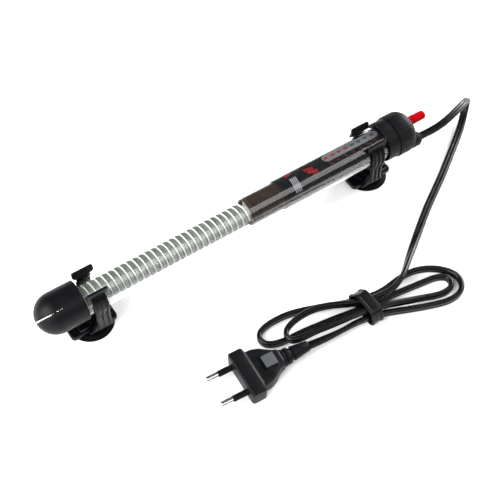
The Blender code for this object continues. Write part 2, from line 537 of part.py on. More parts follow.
def build_clip(name, x):
    """C ring that snaps round the tube, on two legs with feet that hook under the rail head."""
    home = world(x, 0, AXIS_Z)
    lip_angle = math.degrees(math.atan2(9.4, LIP_Y0))
    leg_angle = -math.degrees(math.acos(LEG_Y / CLIP_R))
    right = [(LEG_Y, FOOT_BOTTOM)]
    right += [ring_point(CLIP_R, leg_angle + (lip_angle - leg_angle) * i / 7) for i in range(8)]
    left = [(-y, z) for y, z in reversed(right)]
    clip = extrude_x(name, "black_plastic", right + left, x - CLIP_W / 2, x + CLIP_W / 2)
    lips = []
    for side in (-1, 1):
        lip = [(side * 10.7, 8.8), (side * 10.35, 13.9), (side * 9.7, LIP_Z1),
               (side * 9.0, 13.9), (side * 8.0, 9.0)]
        lips.append(extrude_x("lip", "black_plastic", lip, x - LIP_W / 2, x + LIP_W / 2))
    rib_r = CLIP_R + RIB_H
    for offset in RIB_OFFSETS:
        arc_pts = [ring_point(rib_r, leg_angle + 4 + (lip_angle - leg_angle - 8) * i / 7)
                   for i in range(8)]
        inner = [ring_point(CLIP_R - 0.6, leg_angle + 4), ring_point(CLIP_R - 0.6, lip_angle - 4)]
        for side in (-1, 1):
            rib = [(side * y, z) for y, z in arc_pts + [inner[1]]
                   + [ring_point(CLIP_R - 0.6, leg_angle + (lip_angle - leg_angle) * k / 4)
                      for k in (3, 2, 1)] + [inner[0]]]
            lips.append(extrude_x("rib", "black_plastic", rib,
                                  x + offset - RIB_W / 2, x + offset + RIB_W / 2))
    fillet_x, fillet_z = x - FLARE_BACK, FOOT_BOTTOM + FLARE_EDGE + FLARE_R
    foot = [(x - FLARE_BACK, FOOT_BOTTOM), (x + FLARE_AHEAD, FOOT_BOTTOM),
            (x + FLARE_AHEAD, FOOT_BOTTOM + FLARE_EDGE), (x, FOOT_BOTTOM + FLARE_R)]
    foot += [(fillet_x + y, fillet_z + z) for y, z in
             [ring_point(FLARE_R, -18.0 * i) for i in range(6)]]
    for side in (-1, 1):
        lips.append(extrude_y("foot", "black_plastic", foot,
                              side * FLARE_Y[0], side * FLARE_Y[1]))
    combine(clip, lips, "UNION")
    reach = 20.0
    bore = rod_cutter(x - reach, x + reach, 0, 0, CLIP_BORE_R, 32)
    mouth = extrude_x("cutter", "steel",
                      [(-LIP_Y0, 0), (LIP_Y0, 0), (LIP_Y0, 25), (-LIP_Y0, 25)], x - reach, x + reach)
    window_angle = -math.degrees(math.acos(LEG_BORE_Y / CLIP_R))
    under = [ring_point(CLIP_R, window_angle + (-180 - 2 * window_angle) * i / 8)
             for i in range(9)]
    window = extrude_x("cutter", "steel",
                       [(-LEG_BORE_Y, BASE_Z1), (LEG_BORE_Y, BASE_Z1)] + under,
                       x - reach, x + reach)
    channel = extrude_x("cutter", "steel",
                        [(-FOOT_BORE_Y, FOOT_BOTTOM - 3), (FOOT_BORE_Y, FOOT_BOTTOM - 3),
                         (FOOT_BORE_Y, FOOT_TOP), (CHANNEL_HALF_W, FOOT_TOP),
                         (CHANNEL_HALF_W, BASE_Z0), (-CHANNEL_HALF_W, BASE_Z0),
                         (-CHANNEL_HALF_W, FOOT_TOP), (-FOOT_BORE_Y, FOOT_TOP)],
                        x - reach, x + reach)
    combine(clip, [bore, mouth, window, channel])
    set_home(clip, home)


def set_home(obj, point):
    """Move an object's origin to a world point without moving its surface."""
    shift = obj.location - point
    obj.data.transform(Matrix.Translation(shift))
    obj.location = point


def rounded_rectangle(x, half_len, half_w, corner, steps=4):
    outline = []
    for cx, cy, start in ((1, 1, 0), (-1, 1, 90), (-1, -1, 180), (1, -1, 270)):
        for i in range(steps + 1):
            a = math.radians(start + 90 * i / steps)
            outline.append((x + cx * (half_len - corner) + corner * math.cos(a),
                            cy * (half_w - corner) + corner * math.sin(a)))
    return outline


def build_rail(name, x):
    """Base slab with a T head for the clip feet and a stepped socket for the cup."""
    home = world(x, 0, RAIL_Z1)
    rail = extrude_z(name, "black_plastic",
                     rounded_rectangle(x + RAIL_SHIFT, RAIL_LEN / 2, RAIL_W / 2, RAIL_CORNER_R),
                     RAIL_Z0, RAIL_Z1)
    head_half_len = 11.0
    neck_y, head_y = FOOT_BORE_Y - 0.4, CHANNEL_HALF_W - 0.4
    neck_top, head_top = FOOT_Z + 1.2 + GAP, AXIS_Z + BASE_Z0 - GAP
    section = [(-neck_y, RAIL_Z1 - 0.5), (neck_y, RAIL_Z1 - 0.5), (neck_y, neck_top),
               (head_y, neck_top), (head_y, head_top), (-head_y, head_top),
               (-head_y, neck_top), (-neck_y, neck_top)]
    tee_head = extrude_x("head", "black_plastic", [(y, z - AXIS_Z) for y, z in section],
                         x - head_half_len, x + head_half_len)
    combine(rail, [tee_head], "UNION")
    hole = lathe_up("cutter", "steel", disc_profile(RAIL_Z0 - 3, 4.4, 2.9), 20, x, 0)
    pocket = lathe_up("cutter", "steel", disc_profile(4.3, 6.2, 4.0), 20, x, 0)
    combine(hole, [pocket], "UNION")
    combine(rail, [hole])
    set_home(rail, home)


CUP_PROFILE = [(1.3, 0), (1.1, 6.0), (0.0, 13.0), (0.0, 14.4), (0.3, CUP_R), (0.9, CUP_R),
               (1.3, 13.0), (2.3, 6.0), (2.5, CUP_NECK_R), (4.6, CUP_NECK_R),
               (4.6, CUP_HEAD_R), (5.3, CUP_HEAD_R), (5.9, 2.6), (5.9, 0)]
for end, clip_x, rail_x in zip(("front", "rear"), CLIP_X, RAIL_X):
    build_clip("clip_" + end, clip_x)
    build_rail("rail_" + end, rail_x)
    lathe_up("cup_" + end, "cup_rubber", CUP_PROFILE, 28, rail_x, 0.0,
             origin=world(rail_x, 0, 0))

# ---------------------------------------------------------------- mains lead
CORD_POINTS = 80
cord_curve = bpy.data.curves.new("cord", "CURVE")
cord_curve.dimensions = "3D"
cord_curve.bevel_depth = CORD_D / 2 * MM
cord_curve.bevel_resolution = 2
cord_curve.use_fill_caps = True
cord_curve.render_resolution_u = 0
spline = cord_curve.splines.new("POLY")
spline.points.add(CORD_POINTS - 1)
for point, place in zip(spline.points, smooth_curve(CORD_ROUTE, CORD_POINTS)):
    point.co = (*world(*place), 1.0)
cord = bpy.data.objects.new("cord", cord_curve)
bpy.context.scene.collection.objects.link(cord)
cord_curve.materials.append(material("cord", "cord_pvc"))

# tie round the five strands of the bundle: inside outline (y, height), wall outside it
TIE_X, TIE_W, TIE_WALL = 182.5, 8.5, 0.8
TIE_INSIDE = [(-99.4, 0.95), (-79.2, 0.95), (-77.7, 3.0), (-78.2, 5.8), (-83.0, 11.2),
              (-86.0, 11.9), (-95.6, 11.9), (-98.6, 10.6), (-101.0, 5.8), (-101.2, 3.2)]
centre = np.mean(np.array(TIE_INSIDE), axis=0)
tie_outside = []
for i, (y, z) in enumerate(TIE_INSIDE):
    before, after = np.array(TIE_INSIDE[i - 1]), np.array(TIE_INSIDE[(i + 1) % len(TIE_INSIDE)])
    edge_a = np.array((y, z)) - before
    edge_b = after - np.array((y, z))
    normals = [np.array((e[1], -e[0])) / np.linalg.norm(e) for e in (edge_a, edge_b)]
    middle = normals[0] + normals[1]
    middle /= np.linalg.norm(middle)
    reach = TIE_WALL / max(float(middle @ normals[0]), 0.5)
    tie_outside.append((y + middle[0] * reach, z + middle[1] * reach))
x0, x1 = TIE_X - TIE_W / 2, TIE_X + TIE_W / 2
tie_verts = []
for x in (x0, x1):
    tie_verts += [world(x, y, z) for y, z in tie_outside] + [world(x, y, z) for y, z in TIE_INSIDE]
n = len(TIE_INSIDE)
tie_faces = []
for i in range(n):
    j = (i + 1) % n
    tie_faces += [(i, j, 2 * n + j, 2 * n + i), (n + j, n + i, 3 * n + i, 3 * n + j),
                  (j, i, n + i, n + j), (2 * n + i, 2 * n + j, 3 * n + j, 3 * n + i)]
make("cord_tie", "black_plastic", tie_verts, tie_faces, smooth=False)

# ---------------------------------------------------------------- plug
turn = math.radians(PLUG_TURN)
plug_place = Matrix.Translation(world(PLUG_X, PLUG_Y, 0)) @ Matrix.Rotation(turn, 4, "Z")


def plug_point(along, across, height):
    """A point in the plug's own directions: along the lead, across the pins, over the floor."""
    return plug_place @ (Vector((along, across, height)) * MM)


def plug_lathe(name, look, profile, sides, across=0.0):
    return turned(name, look, profile, sides,
                  lambda t, c, s: plug_point(t, across + c, PLUG_MID_Z + s))


def rounded_section(half_w, half_h, corner, steps=3):
    section = []
    for cx, cz, start in ((1, 1, 0), (-1, 1, 90), (-1, -1, 180), (1, -1, 270)):
        for i in range(steps + 1):
            a = math.radians(start + 90 * i / steps)
            section.append((cx * (half_w - corner) + corner * math.cos(a),
                            cz * (half_h - corner) + corner * math.sin(a)))
    return section


# stations along the plug: distance, half width, half height, corner radius
PLUG_STATIONS = [(0.0, 15.8, 5.9, 2.0), (0.8, 16.5, 6.6, 2.4), (8.8, 16.5, 6.6, 2.4),
                 (9.7, 15.9, 6.2, 2.4), (10.1, 13.1, 5.9, 2.4), (13.0, 12.9, 5.9, 2.4),
                 (16.0, 12.2, 5.9, 2.5), (19.0, 10.9, 5.9, 2.6), (21.5, 9.2, 5.8, 2.7),
                 (24.0, 7.5, 5.7, 2.8), (26.0, 6.5, 5.5, 3.0), (28.4, 5.9, 5.3, 3.1)]
plug_rings = [[plug_point(d, y, PLUG_MID_Z + z) for y, z in rounded_section(w, h, c)]
              for d, w, h, c in PLUG_STATIONS]
plug_body = make("plug_body", "black_plastic", *rings_mesh(plug_rings, closed=False))
PIN_TIP, PIN_HEAD, PIN_ROOT = -18.9, -10.3, 7.5
PIN_ACROSS = {"a": PIN_PITCH / 2, "b": -PIN_PITCH / 2}
pin_bores = [plug_lathe("cutter", "steel", disc_profile(-5, PIN_ROOT + 0.5, PIN_SLEEVE_BORE_R),
                        14, across) for across in PIN_ACROSS.values()]
combine(plug_body, pin_bores)
for letter, across in PIN_ACROSS.items():
    plug_lathe("pin_" + letter, "steel",
               [(PIN_TIP, 0), (PIN_TIP + 0.2, 1.0), (PIN_TIP + 0.9, 1.75), (PIN_TIP + 1.8, PIN_R),
                (PIN_HEAD, PIN_R), (PIN_HEAD, PIN_CORE_R), (PIN_ROOT, PIN_CORE_R), (PIN_ROOT, 0)],
               16, across)
    plug_lathe("pin_sleeve_" + letter, "black_plastic",
               ring_profile(PIN_HEAD + GAP, -GAP, PIN_SLEEVE_BORE_R, PIN_R), 16, across)
PAD_X0, PAD_X1, PAD_HALF_W = 16.2, 24.2, 4.2
pad_top = PLUG_MID_Z + 5.9
pad_verts = [plug_point(d, y, z) for z in (pad_top + GAP, pad_top + GAP + 0.5)
             for d, y in ((PAD_X0, -PAD_HALF_W), (PAD_X1, -PAD_HALF_W),
                          (PAD_X1, PAD_HALF_W), (PAD_X0, PAD_HALF_W))]
make("plug_pad", "grey_pad", pad_verts,
     [(3, 2, 1, 0), (4, 5, 6, 7), (0, 1, 5, 4), (1, 2, 6, 5), (2, 3, 7, 6), (3, 0, 4, 7)],
     smooth=False)
# rings of the strain relief: from, to, radius at each end, and how deep the grooves between are
RELIEF_RINGS = ((28.8, 30.4, 5.7, 5.7), (31.2, 34.2, 5.5, 5.3), (36.2, 47.6, 4.8, 3.3))
RELIEF_GROOVE = 1.0
relief_profile = []
for x0, x1, r0, r1 in RELIEF_RINGS:
    relief_profile += [(x0, r0 - RELIEF_GROOVE), (x0, r0), (x1, r1), (x1, r1 - RELIEF_GROOVE)]
relief_profile = [(RELIEF_RINGS[0][0], 0)] + relief_profile[1:-1] + [(RELIEF_RINGS[-1][1], 0)]
plug_lathe("plug_strain_relief", "grip_rubber", relief_profile, 20)
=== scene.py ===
"""Submersible aquarium heater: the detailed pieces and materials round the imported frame.

Lengths are millimetres along the heater from the tip of its end guard (stations), offsets are
from the tube's axis, heights are over the floor. The frame's own boxes give every place.
"""

import math

import bmesh
import bpy
import numpy as np
from mathutils import Matrix, Vector

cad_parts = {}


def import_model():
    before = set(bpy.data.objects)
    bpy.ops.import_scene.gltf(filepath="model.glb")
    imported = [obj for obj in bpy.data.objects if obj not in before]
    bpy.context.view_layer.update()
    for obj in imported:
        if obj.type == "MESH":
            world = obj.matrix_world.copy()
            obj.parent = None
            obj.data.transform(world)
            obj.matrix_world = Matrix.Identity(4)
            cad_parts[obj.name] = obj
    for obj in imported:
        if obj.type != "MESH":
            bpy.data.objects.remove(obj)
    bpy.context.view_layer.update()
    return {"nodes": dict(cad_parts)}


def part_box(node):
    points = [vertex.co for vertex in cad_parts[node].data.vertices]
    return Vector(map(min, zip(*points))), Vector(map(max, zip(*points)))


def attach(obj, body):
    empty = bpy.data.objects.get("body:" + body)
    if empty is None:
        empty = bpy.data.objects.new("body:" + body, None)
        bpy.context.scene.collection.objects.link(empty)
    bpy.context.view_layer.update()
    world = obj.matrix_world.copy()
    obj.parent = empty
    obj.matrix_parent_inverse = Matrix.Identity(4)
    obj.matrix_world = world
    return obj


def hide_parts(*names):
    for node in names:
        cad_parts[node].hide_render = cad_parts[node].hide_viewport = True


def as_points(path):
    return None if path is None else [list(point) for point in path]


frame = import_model()

MM = 0.001
LENGTH = 301.0  # guard tip to knob tip
glass_low, glass_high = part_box("glass_tube")
AXIS_Z = (glass_low.z + glass_high.z) / 2 / MM  # height of the tube's axis
AXIS_Y = (glass_low.y + glass_high.y) / 2 / MM
STATION_0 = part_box("adjust_knob")[1].x / MM - LENGTH


def world(x, y, height):
    """Station, y and height over the floor, in mm -> world metres."""
    return Vector(((x + STATION_0) * MM, y * MM, height * MM))


def axial(x, y, z):
    """Station and offsets from the tube's axis, in mm -> world metres."""
    return world(x, AXIS_Y + y, AXIS_Z + z)


def span(node):
    """A node's first and last station and its radius, for a piece turned about the axis."""
    low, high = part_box(node)
    return low.x / MM - STATION_0, high.x / MM - STATION_0, (high.y - low.y) / 2 / MM


# -------- camera
CAMERA_AT = (-0.2161, -0.3280, 0.5304)
CAMERA_PAN, CAMERA_TILT = 33.8, 35.9  # degrees: heading from +Y, angle off straight down
CAMERA_FOV = 28.5
camera_data = bpy.data.cameras.new("camera")
camera_data.sensor_width = 36.0
camera_data.lens = 18.0 / math.tan(math.radians(CAMERA_FOV / 2))
camera_data.clip_start = 0.01
camera = bpy.data.objects.new("camera", camera_data)
camera.location = CAMERA_AT
camera.rotation_euler = (math.radians(CAMERA_TILT), 0.0, math.radians(-CAMERA_PAN))
bpy.context.scene.collection.objects.link(camera)
bpy.context.scene.camera = camera
bpy.context.scene.view_settings.view_transform = "Standard"
bpy.context.scene.view_settings.look = "None"


# -------- materials
class Look:
    """A Principled material under construction, with its nodes in object coordinates."""

    def __init__(self, name, colour, roughness, metallic=0.0):
        self.material = bpy.data.materials.new(name)
        self.material.use_nodes = True
        self.tree = self.material.node_tree
        self.shader = self.tree.nodes["Principled BSDF"]
        self.shader.inputs["Base Color"].default_value = (*colour, 1.0)
        self.shader.inputs["Roughness"].default_value = roughness
        self.shader.inputs["Metallic"].default_value = metallic
        self.coords = self.node("ShaderNodeTexCoord").outputs["Object"]
        self.bump = None

    def node(self, kind, **values):
        made = self.tree.nodes.new(kind)
        for key, value in values.items():
            setattr(made, key, value)
        return made

    def link(self, source, target):
        self.tree.links.new(source, target)

    def noise(self, size_mm, detail=3.0, roughness=0.55, stretch=None):
        """Noise with features of about this size, or scaled along each axis by stretch."""
        made = self.node("ShaderNodeTexNoise")
        made.inputs["Scale"].default_value = 1 / (size_mm * MM)
        made.inputs["Detail"].default_value = detail
        made.inputs["Roughness"].default_value = roughness
        coords = self.coords
        if stretch is not None:
            mapping = self.node("ShaderNodeMapping")
            mapping.inputs["Scale"].default_value = stretch
            self.link(coords, mapping.inputs["Vector"])
            coords = mapping.outputs["Vector"]
        self.link(coords, made.inputs["Vector"])
        return made.outputs["Fac"]

    def ranged(self, value, low, high, out_low, out_high):
        """Map one range of a value onto another, clamped."""
        made = self.node("ShaderNodeMapRange")
        for socket, number in zip(("From Min", "From Max", "To Min", "To Max"),
                                  (low, high, out_low, out_high)):
            made.inputs[socket].default_value = number
        self.link(value, made.inputs["Value"])
        return made.outputs["Result"]

    def tint(self, factor, other):
        """Mix the present colour towards another by a factor."""
        mix = self.node("ShaderNodeMix", data_type="RGBA")
        base = self.shader.inputs["Base Color"]
        if base.is_linked:
            self.link(base.links[0].from_socket, mix.inputs["A"])
        else:
            mix.inputs["A"].default_value = base.default_value
        mix.inputs["B"].default_value = (*other, 1.0)
        self.link(factor, mix.inputs["Factor"])
        self.link(mix.outputs["Result"], base)

    def rough(self, value, low, high, out_low, out_high):
        self.link(self.ranged(value, low, high, out_low, out_high),
                  self.shader.inputs["Roughness"])

    def bumped(self, height, strength, depth_mm):
        """Add a bump over the bumps so far."""
        made = self.node("ShaderNodeBump")
        made.inputs["Strength"].default_value = strength
        made.inputs["Distance"].default_value = depth_mm * MM
        self.link(height, made.inputs["Height"])
        if self.bump is not None:
            self.link(self.bump, made.inputs["Normal"])
        self.bump = made.outputs["Normal"]
        self.link(self.bump, self.shader.inputs["Normal"])

    def see_through(self, transmission, ior, shadow=(1.0, 1.0, 1.0)):
        """Clear or tinted glass whose shadow rays pass, so that lamps light what is inside."""
        self.shader.inputs["Transmission Weight"].default_value = transmission
        self.shader.inputs["IOR"].default_value = ior
        path = self.node("ShaderNodeLightPath")
        clear = self.node("ShaderNodeBsdfTransparent")
        clear.inputs["Color"].default_value = (*shadow, 1.0)
        mix = self.node("ShaderNodeMixShader")
        self.link(path.outputs["Is Shadow Ray"], mix.inputs[0])
        self.link(self.shader.outputs["BSDF"], mix.inputs[1])
        self.link(clear.outputs["BSDF"], mix.inputs[2])
        self.link(mix.outputs["Shader"], self.tree.nodes["Material Output"].inputs["Surface"])


DUST = 0.006  # how pale the fine dust flecks are


def moulded(name, colour, roughness, grain_mm=0.35, grain=0.12, patch=1.35, sheen=0.13):
    """Black or coloured moulded plastic and rubber: fine spark texture, handled sheen, dust."""
    look = Look(name, colour, roughness)
    broad = look.noise(9.0, 4.0)
    look.tint(look.ranged(broad, 0.35, 0.7, 0.0, 1.0), tuple(c * patch for c in colour))
    look.tint(look.ranged(look.noise(1.1, 6.0, 0.7), 0.62, 0.8, 0.0, 0.35),
              tuple(0.6 * c + DUST for c in colour))
    look.shader.inputs["Specular IOR Level"].default_value = sheen
    look.rough(look.noise(4.0, 5.0, 0.6), 0.3, 0.7, roughness - 0.07, roughness + 0.09)
    look.bumped(look.noise(grain_mm, 2.0), grain, 0.05)
    look.bumped(look.noise(14.0, 2.0), 0.15, 0.2)
    return look


def metal(name, colour, roughness, brushed=(1.0, 12.0, 12.0)):
    """Drawn or rolled metal with fine lines along X."""
    look = Look(name, colour, roughness, 1.0)
    lines = look.noise(0.8, 4.0, 0.6, stretch=brushed)
    look.tint(look.ranged(look.noise(3.0, 4.0), 0.4, 0.75, 0.0, 0.6),
              tuple(c * 0.62 for c in colour))
    look.rough(lines, 0.3, 0.7, roughness * 0.7, roughness * 1.5)
    look.bumped(lines, 0.12, 0.03)
    return look


GUARD_BLACK = moulded("guard_black", (0.0022, 0.0023, 0.0032), 0.42, 0.3, 0.10)
HEAD_BLACK = moulded("head_black", (0.0022, 0.0022, 0.0030), 0.46, 0.3, 0.12)
CLIP_BLACK = moulded("clip_black", (0.0016, 0.0018, 0.0026), 0.32, 0.5, 0.05, sheen=0.16)
CUP_BLACK = moulded("cup_black", (0.0018, 0.0018, 0.0023), 0.38, 0.6, 0.05)
PLUG_BLACK = moulded("plug_black", (0.0018, 0.0019, 0.0027), 0.42, 0.35, 0.10)
CORD_BLACK = moulded("cord_black", (0.0014, 0.0014, 0.0018), 0.30, 0.5, 0.05, sheen=0.22)
TIE_BLACK = moulded("tie_black", (0.0014, 0.0014, 0.0018), 0.34, 0.6, 0.06, sheen=0.22)
STOPPER_BLACK = moulded("stopper_black", (0.012, 0.012, 0.013), 0.6, 0.4, 0.10)
PAD_GREY = moulded("pad_grey", (0.055, 0.06, 0.067), 0.5, 0.4, 0.15, patch=1.15)
KNOB_RED = moulded("knob_red", (0.32, 0.0, 0.001), 0.26, 0.8, 0.03, patch=1.1, sheen=0.04)
PIN_METAL = metal("pin_metal", (0.72, 0.71, 0.70), 0.2)
STEEL = metal("inner_steel", (0.58, 0.58, 0.58), 0.32)
BRASS = metal("inner_brass", (0.76, 0.58, 0.28), 0.3)
SILVER = metal("contact_silver", (0.86, 0.85, 0.83), 0.2)
WIRE = metal("heater_wire", (0.22, 0.23, 0.212), 0.45)
WIRE.shader.inputs["Metallic"].default_value = 0.55
PALE_WIRE = metal("pale_wire", (0.68, 0.69, 0.66), 0.35)
INSULATOR = moulded("insulator", (0.62, 0.52, 0.38), 0.65, 0.5, 0.2, patch=0.8)
LEAD_COLOUR = moulded("lead_colour", (0.42, 0.18, 0.06), 0.5, 0.6, 0.05)

CERAMIC = Look("ceramic", (0.60, 0.62, 0.57), 0.62)
CERAMIC.tint(CERAMIC.ranged(CERAMIC.noise(0.7, 6.0, 0.7), 0.45, 0.75, 0.0, 0.7), (0.36, 0.38, 0.33))
CERAMIC.tint(CERAMIC.ranged(CERAMIC.noise(7.0, 3.0), 0.4, 0.8, 0.0, 0.4), (0.72, 0.71, 0.66))
CERAMIC.bumped(CERAMIC.noise(0.35, 4.0, 0.7), 0.6, 0.08)

GLASS = Look("clear_glass", (0.985, 0.992, 0.99), 0.0)
GLASS.rough(GLASS.noise(6.0, 5.0, 0.6, stretch=(0.3, 1.0, 1.0)), 0.55, 0.85, 0.0, 0.02)
GLASS.see_through(1.0, 1.45, (0.93, 0.94, 0.94))

SMOKED = Look("smoked_sleeve", (0.06, 0.04, 0.028), 0.12)
SMOKED.tint(SMOKED.ranged(SMOKED.noise(8.0, 3.0), 0.35, 0.75, 0.0, 0.8), (0.032, 0.023, 0.02))
SMOKED.rough(SMOKED.noise(9.0, 4.0), 0.3, 0.7, 0.10, 0.16)
SMOKED.see_through(0.75, 1.35, (0.12, 0.09, 0.07))

LAMP = Look("lamp_glass", (0.95, 0.75, 0.6), 0.05)
LAMP.tint(LAMP.ranged(LAMP.noise(2.0, 3.0), 0.4, 0.7, 0.0, 0.5), (0.8, 0.45, 0.3))
LAMP.see_through(0.9, 1.45)

FILM_BLACK = Look("film_black", (0.0015, 0.0015, 0.002), 0.16)
FILM_BLACK.shader.inputs["Specular IOR Level"].default_value = 0.35
FILM_BLACK.tint(FILM_BLACK.ranged(FILM_BLACK.noise(12.0, 4.0), 0.35, 0.7, 0.0, 1.0),
                (0.003, 0.0031, 0.0038))
FILM_BLACK.rough(FILM_BLACK.noise(10.0, 4.0), 0.3, 0.7, 0.14, 0.2)
PRINT_GREY = moulded("print_grey", (0.055, 0.057, 0.06), 0.35, 0.8, 0.01, patch=1.1)
PRINT_RED = moulded("print_red", (0.10, 0.001, 0.002), 0.35, 0.8, 0.01, patch=0.7)
PRINT_DIM_RED = moulded("print_dim_red", (0.035, 0.0008, 0.0012), 0.35, 0.8, 0.01, patch=0.6)
PRINT_DARK = moulded("print_dark", (0.012, 0.0125, 0.015), 0.35, 0.8, 0.01, patch=0.8)
PRINT_WHITE = moulded("print_white", (0.25, 0.25, 0.27), 0.4, 0.8, 0.01, patch=0.85)


# -------- building helpers
WELD = 0.004 * MM  # points nearer than this become one


def mesh_object(name, verts, faces, welded=False):
    mesh = bpy.data.meshes.new(name)
    mesh.from_pydata([tuple(v) for v in verts], [], faces)
    bm = bmesh.new()
    bm.from_mesh(mesh)
    if welded:
        bmesh.ops.remove_doubles(bm, verts=bm.verts, dist=WELD)
        bmesh.ops.dissolve_degenerate(bm, edges=bm.edges, dist=WELD / 2)
    bmesh.ops.recalc_face_normals(bm, faces=bm.faces)
    bm.to_mesh(mesh)
    bm.free()
    obj = bpy.data.objects.new(name, mesh)
    bpy.context.scene.collection.objects.link(obj)
    return obj


def build(name, look, shape, replaces=(), body="heater", crease=35.0, smooth=True):
    """A piece from a shape, which is (verts, faces) in world points, riding a body."""
    obj = mesh_object(name, *shape, welded=True)
    if smooth:
        obj.data.shade_smooth()
        obj.data.set_sharp_from_angle(angle=math.radians(crease))
    obj.data.materials.append(look.material)
    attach(obj, body)
    if replaces:
        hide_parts(*replaces)
    return obj


def joined_rings(rings, closed):
    """Quads between equal rings of points, with end caps unless the last meets the first."""
    count = len(rings[0])
    verts = [p for ring in rings for p in ring]
    faces = []
    spans = len(rings) if closed else len(rings) - 1
    for i in range(spans):
        a, b = i * count, ((i + 1) % len(rings)) * count
        for j in range(count):
            k = (j + 1) % count
            faces.append((a + j, a + k, b + k, b + j))
    if not closed:
        faces.append(tuple(range(count - 1, -1, -1)))
        faces.append(tuple((len(rings) - 1) * count + j for j in range(count)))
    return verts, faces


def rings_of(profile, sides, place, shape=None):
    """A ring of points for each (t, radius); shape(t, r, angle) may change the radius round it."""
    rings = []
    for t, r in profile:
        ring = []
        for i in range(sides):
            a = 2 * math.pi * i / sides
            radius = r if shape is None else shape(t, r, a)
            ring.append(place(t, radius * math.cos(a), radius * math.sin(a)))
        rings.append(ring)
    return rings


def turned(profile, sides, place, shape=None):
    """Verts and faces turned from (t, radius), tip to tip or a closed loop."""
    solid = profile[0][1] == 0 and profile[-1][1] == 0
    rings = rings_of(profile[1:-1] if solid else profile, sides, place, shape)
    verts, faces = joined_rings(rings, closed=not solid)
    if solid:
        faces = faces[:-2]
        for t, start in ((profile[0][0], 0), (profile[-1][0], (len(rings) - 1) * sides)):
            verts.append(place(t, 0, 0))
            tip = len(verts) - 1
            faces += [(tip, start + (j + 1) % sides, start + j) for j in range(sides)]
    return verts, faces


def about_axis(y=0.0, z=0.0):
    return lambda t, c, s: axial(t, y + c, z + s)


def arc(cx, cy, r, start, end, steps):
    """Points on a circle, angles in degrees from the first axis."""
    points = []
    for i in range(steps + 1):
        a = math.radians(start + (end - start) * i / steps)
        points.append((cx + r * math.cos(a), cy + r * math.sin(a)))
    return points


def softened(outline, radius, steps=4):
    """Round the corners of a closed outline, each by as much as its sides allow."""
    points = [np.array(p, dtype=float) for p in outline]
    count = len(points)
    made = []
    for i, p in enumerate(points):
        before, after = points[i - 1] - p, points[(i + 1) % count] - p
        la, lb = np.linalg.norm(before), np.linalg.norm(after)
        cut = min(radius, 0.45 * la, 0.45 * lb)
        a, b = p + before / la * cut, p + after / lb * cut
        for k in range(steps + 1):
            t = k / steps
            made.append(tuple((1 - t) ** 2 * a + 2 * t * (1 - t) * p + t ** 2 * b))
    return made


def smooth_curve(points, step):
    """Natural cubic spline through the points, read at even steps of about this length."""
    pts = np.array(points, dtype=float)
    n = len(pts)
    t = np.concatenate(([0.0], np.cumsum(np.linalg.norm(np.diff(pts, axis=0), axis=1))))
    h = np.diff(t)
    system, right = np.eye(n), np.zeros((n, pts.shape[1]))
    for i in range(1, n - 1):
        system[i, i - 1:i + 2] = (h[i - 1], 2 * (h[i - 1] + h[i]), h[i])
        right[i] = 6 * ((pts[i + 1] - pts[i]) / h[i] - (pts[i] - pts[i - 1]) / h[i - 1])
    second = np.linalg.solve(system, right)
    samples = np.linspace(0, t[-1], max(int(t[-1] / (step * 0.25)), 8))
    index = np.clip(np.searchsorted(t, samples) - 1, 0, n - 2)
    a, b = (t[index + 1] - samples) / h[index], (samples - t[index]) / h[index]
    bend = (a ** 3 - a)[:, None] * second[index] + (b ** 3 - b)[:, None] * second[index + 1]
    fine = a[:, None] * pts[index] + b[:, None] * pts[index + 1] + bend * h[index][:, None] ** 2 / 6
    run = np.concatenate(([0.0], np.cumsum(np.linalg.norm(np.diff(fine, axis=0), axis=1))))
    even = np.linspace(0, run[-1], max(int(run[-1] / step), 4) + 1)
    return np.stack([np.interp(even, run, fine[:, k]) for k in range(pts.shape[1])], axis=1)


def carried_frames(points):
    """Tangents and a normal carried along a curve without spinning round it."""
    tangents = np.gradient(points, axis=0)
    tangents /= np.linalg.norm(tangents, axis=1)[:, None]
    first = np.cross(tangents[0], (0.0, 0.0, 1.0))
    if np.linalg.norm(first) < 0.1:
        first = np.cross(tangents[0], (0.0, 1.0, 0.0))
    normals = [first / np.linalg.norm(first)]
    for tangent in tangents[1:]:
        normal = normals[-1] - tangent * np.dot(normals[-1], tangent)
        normals.append(normal / np.linalg.norm(normal))
    return tangents, np.array(normals)


def swept(points, section, angles=None):
    """Verts and faces of an outline in (across, up) carried along points in mm (station, y,
    height); angles turn it round the curve."""
    tangents, normals = carried_frames(points)
    rings = []
    for i, p in enumerate(points):
        normal, other = normals[i], np.cross(tangents[i], normals[i])
        if angles is not None:
            c, s = math.cos(angles[i]), math.sin(angles[i])
            normal, other = normal * c + other * s, other * c - normal * s
        rings.append([world(*(p + normal * u + other * v)) for u, v in section])
    return joined_rings(rings, closed=False)


def on_axis(x, y, z):
    """Station and axis offsets -> (station, y, height) for swept()."""
    return (x, AXIS_Y + y, AXIS_Z + z)


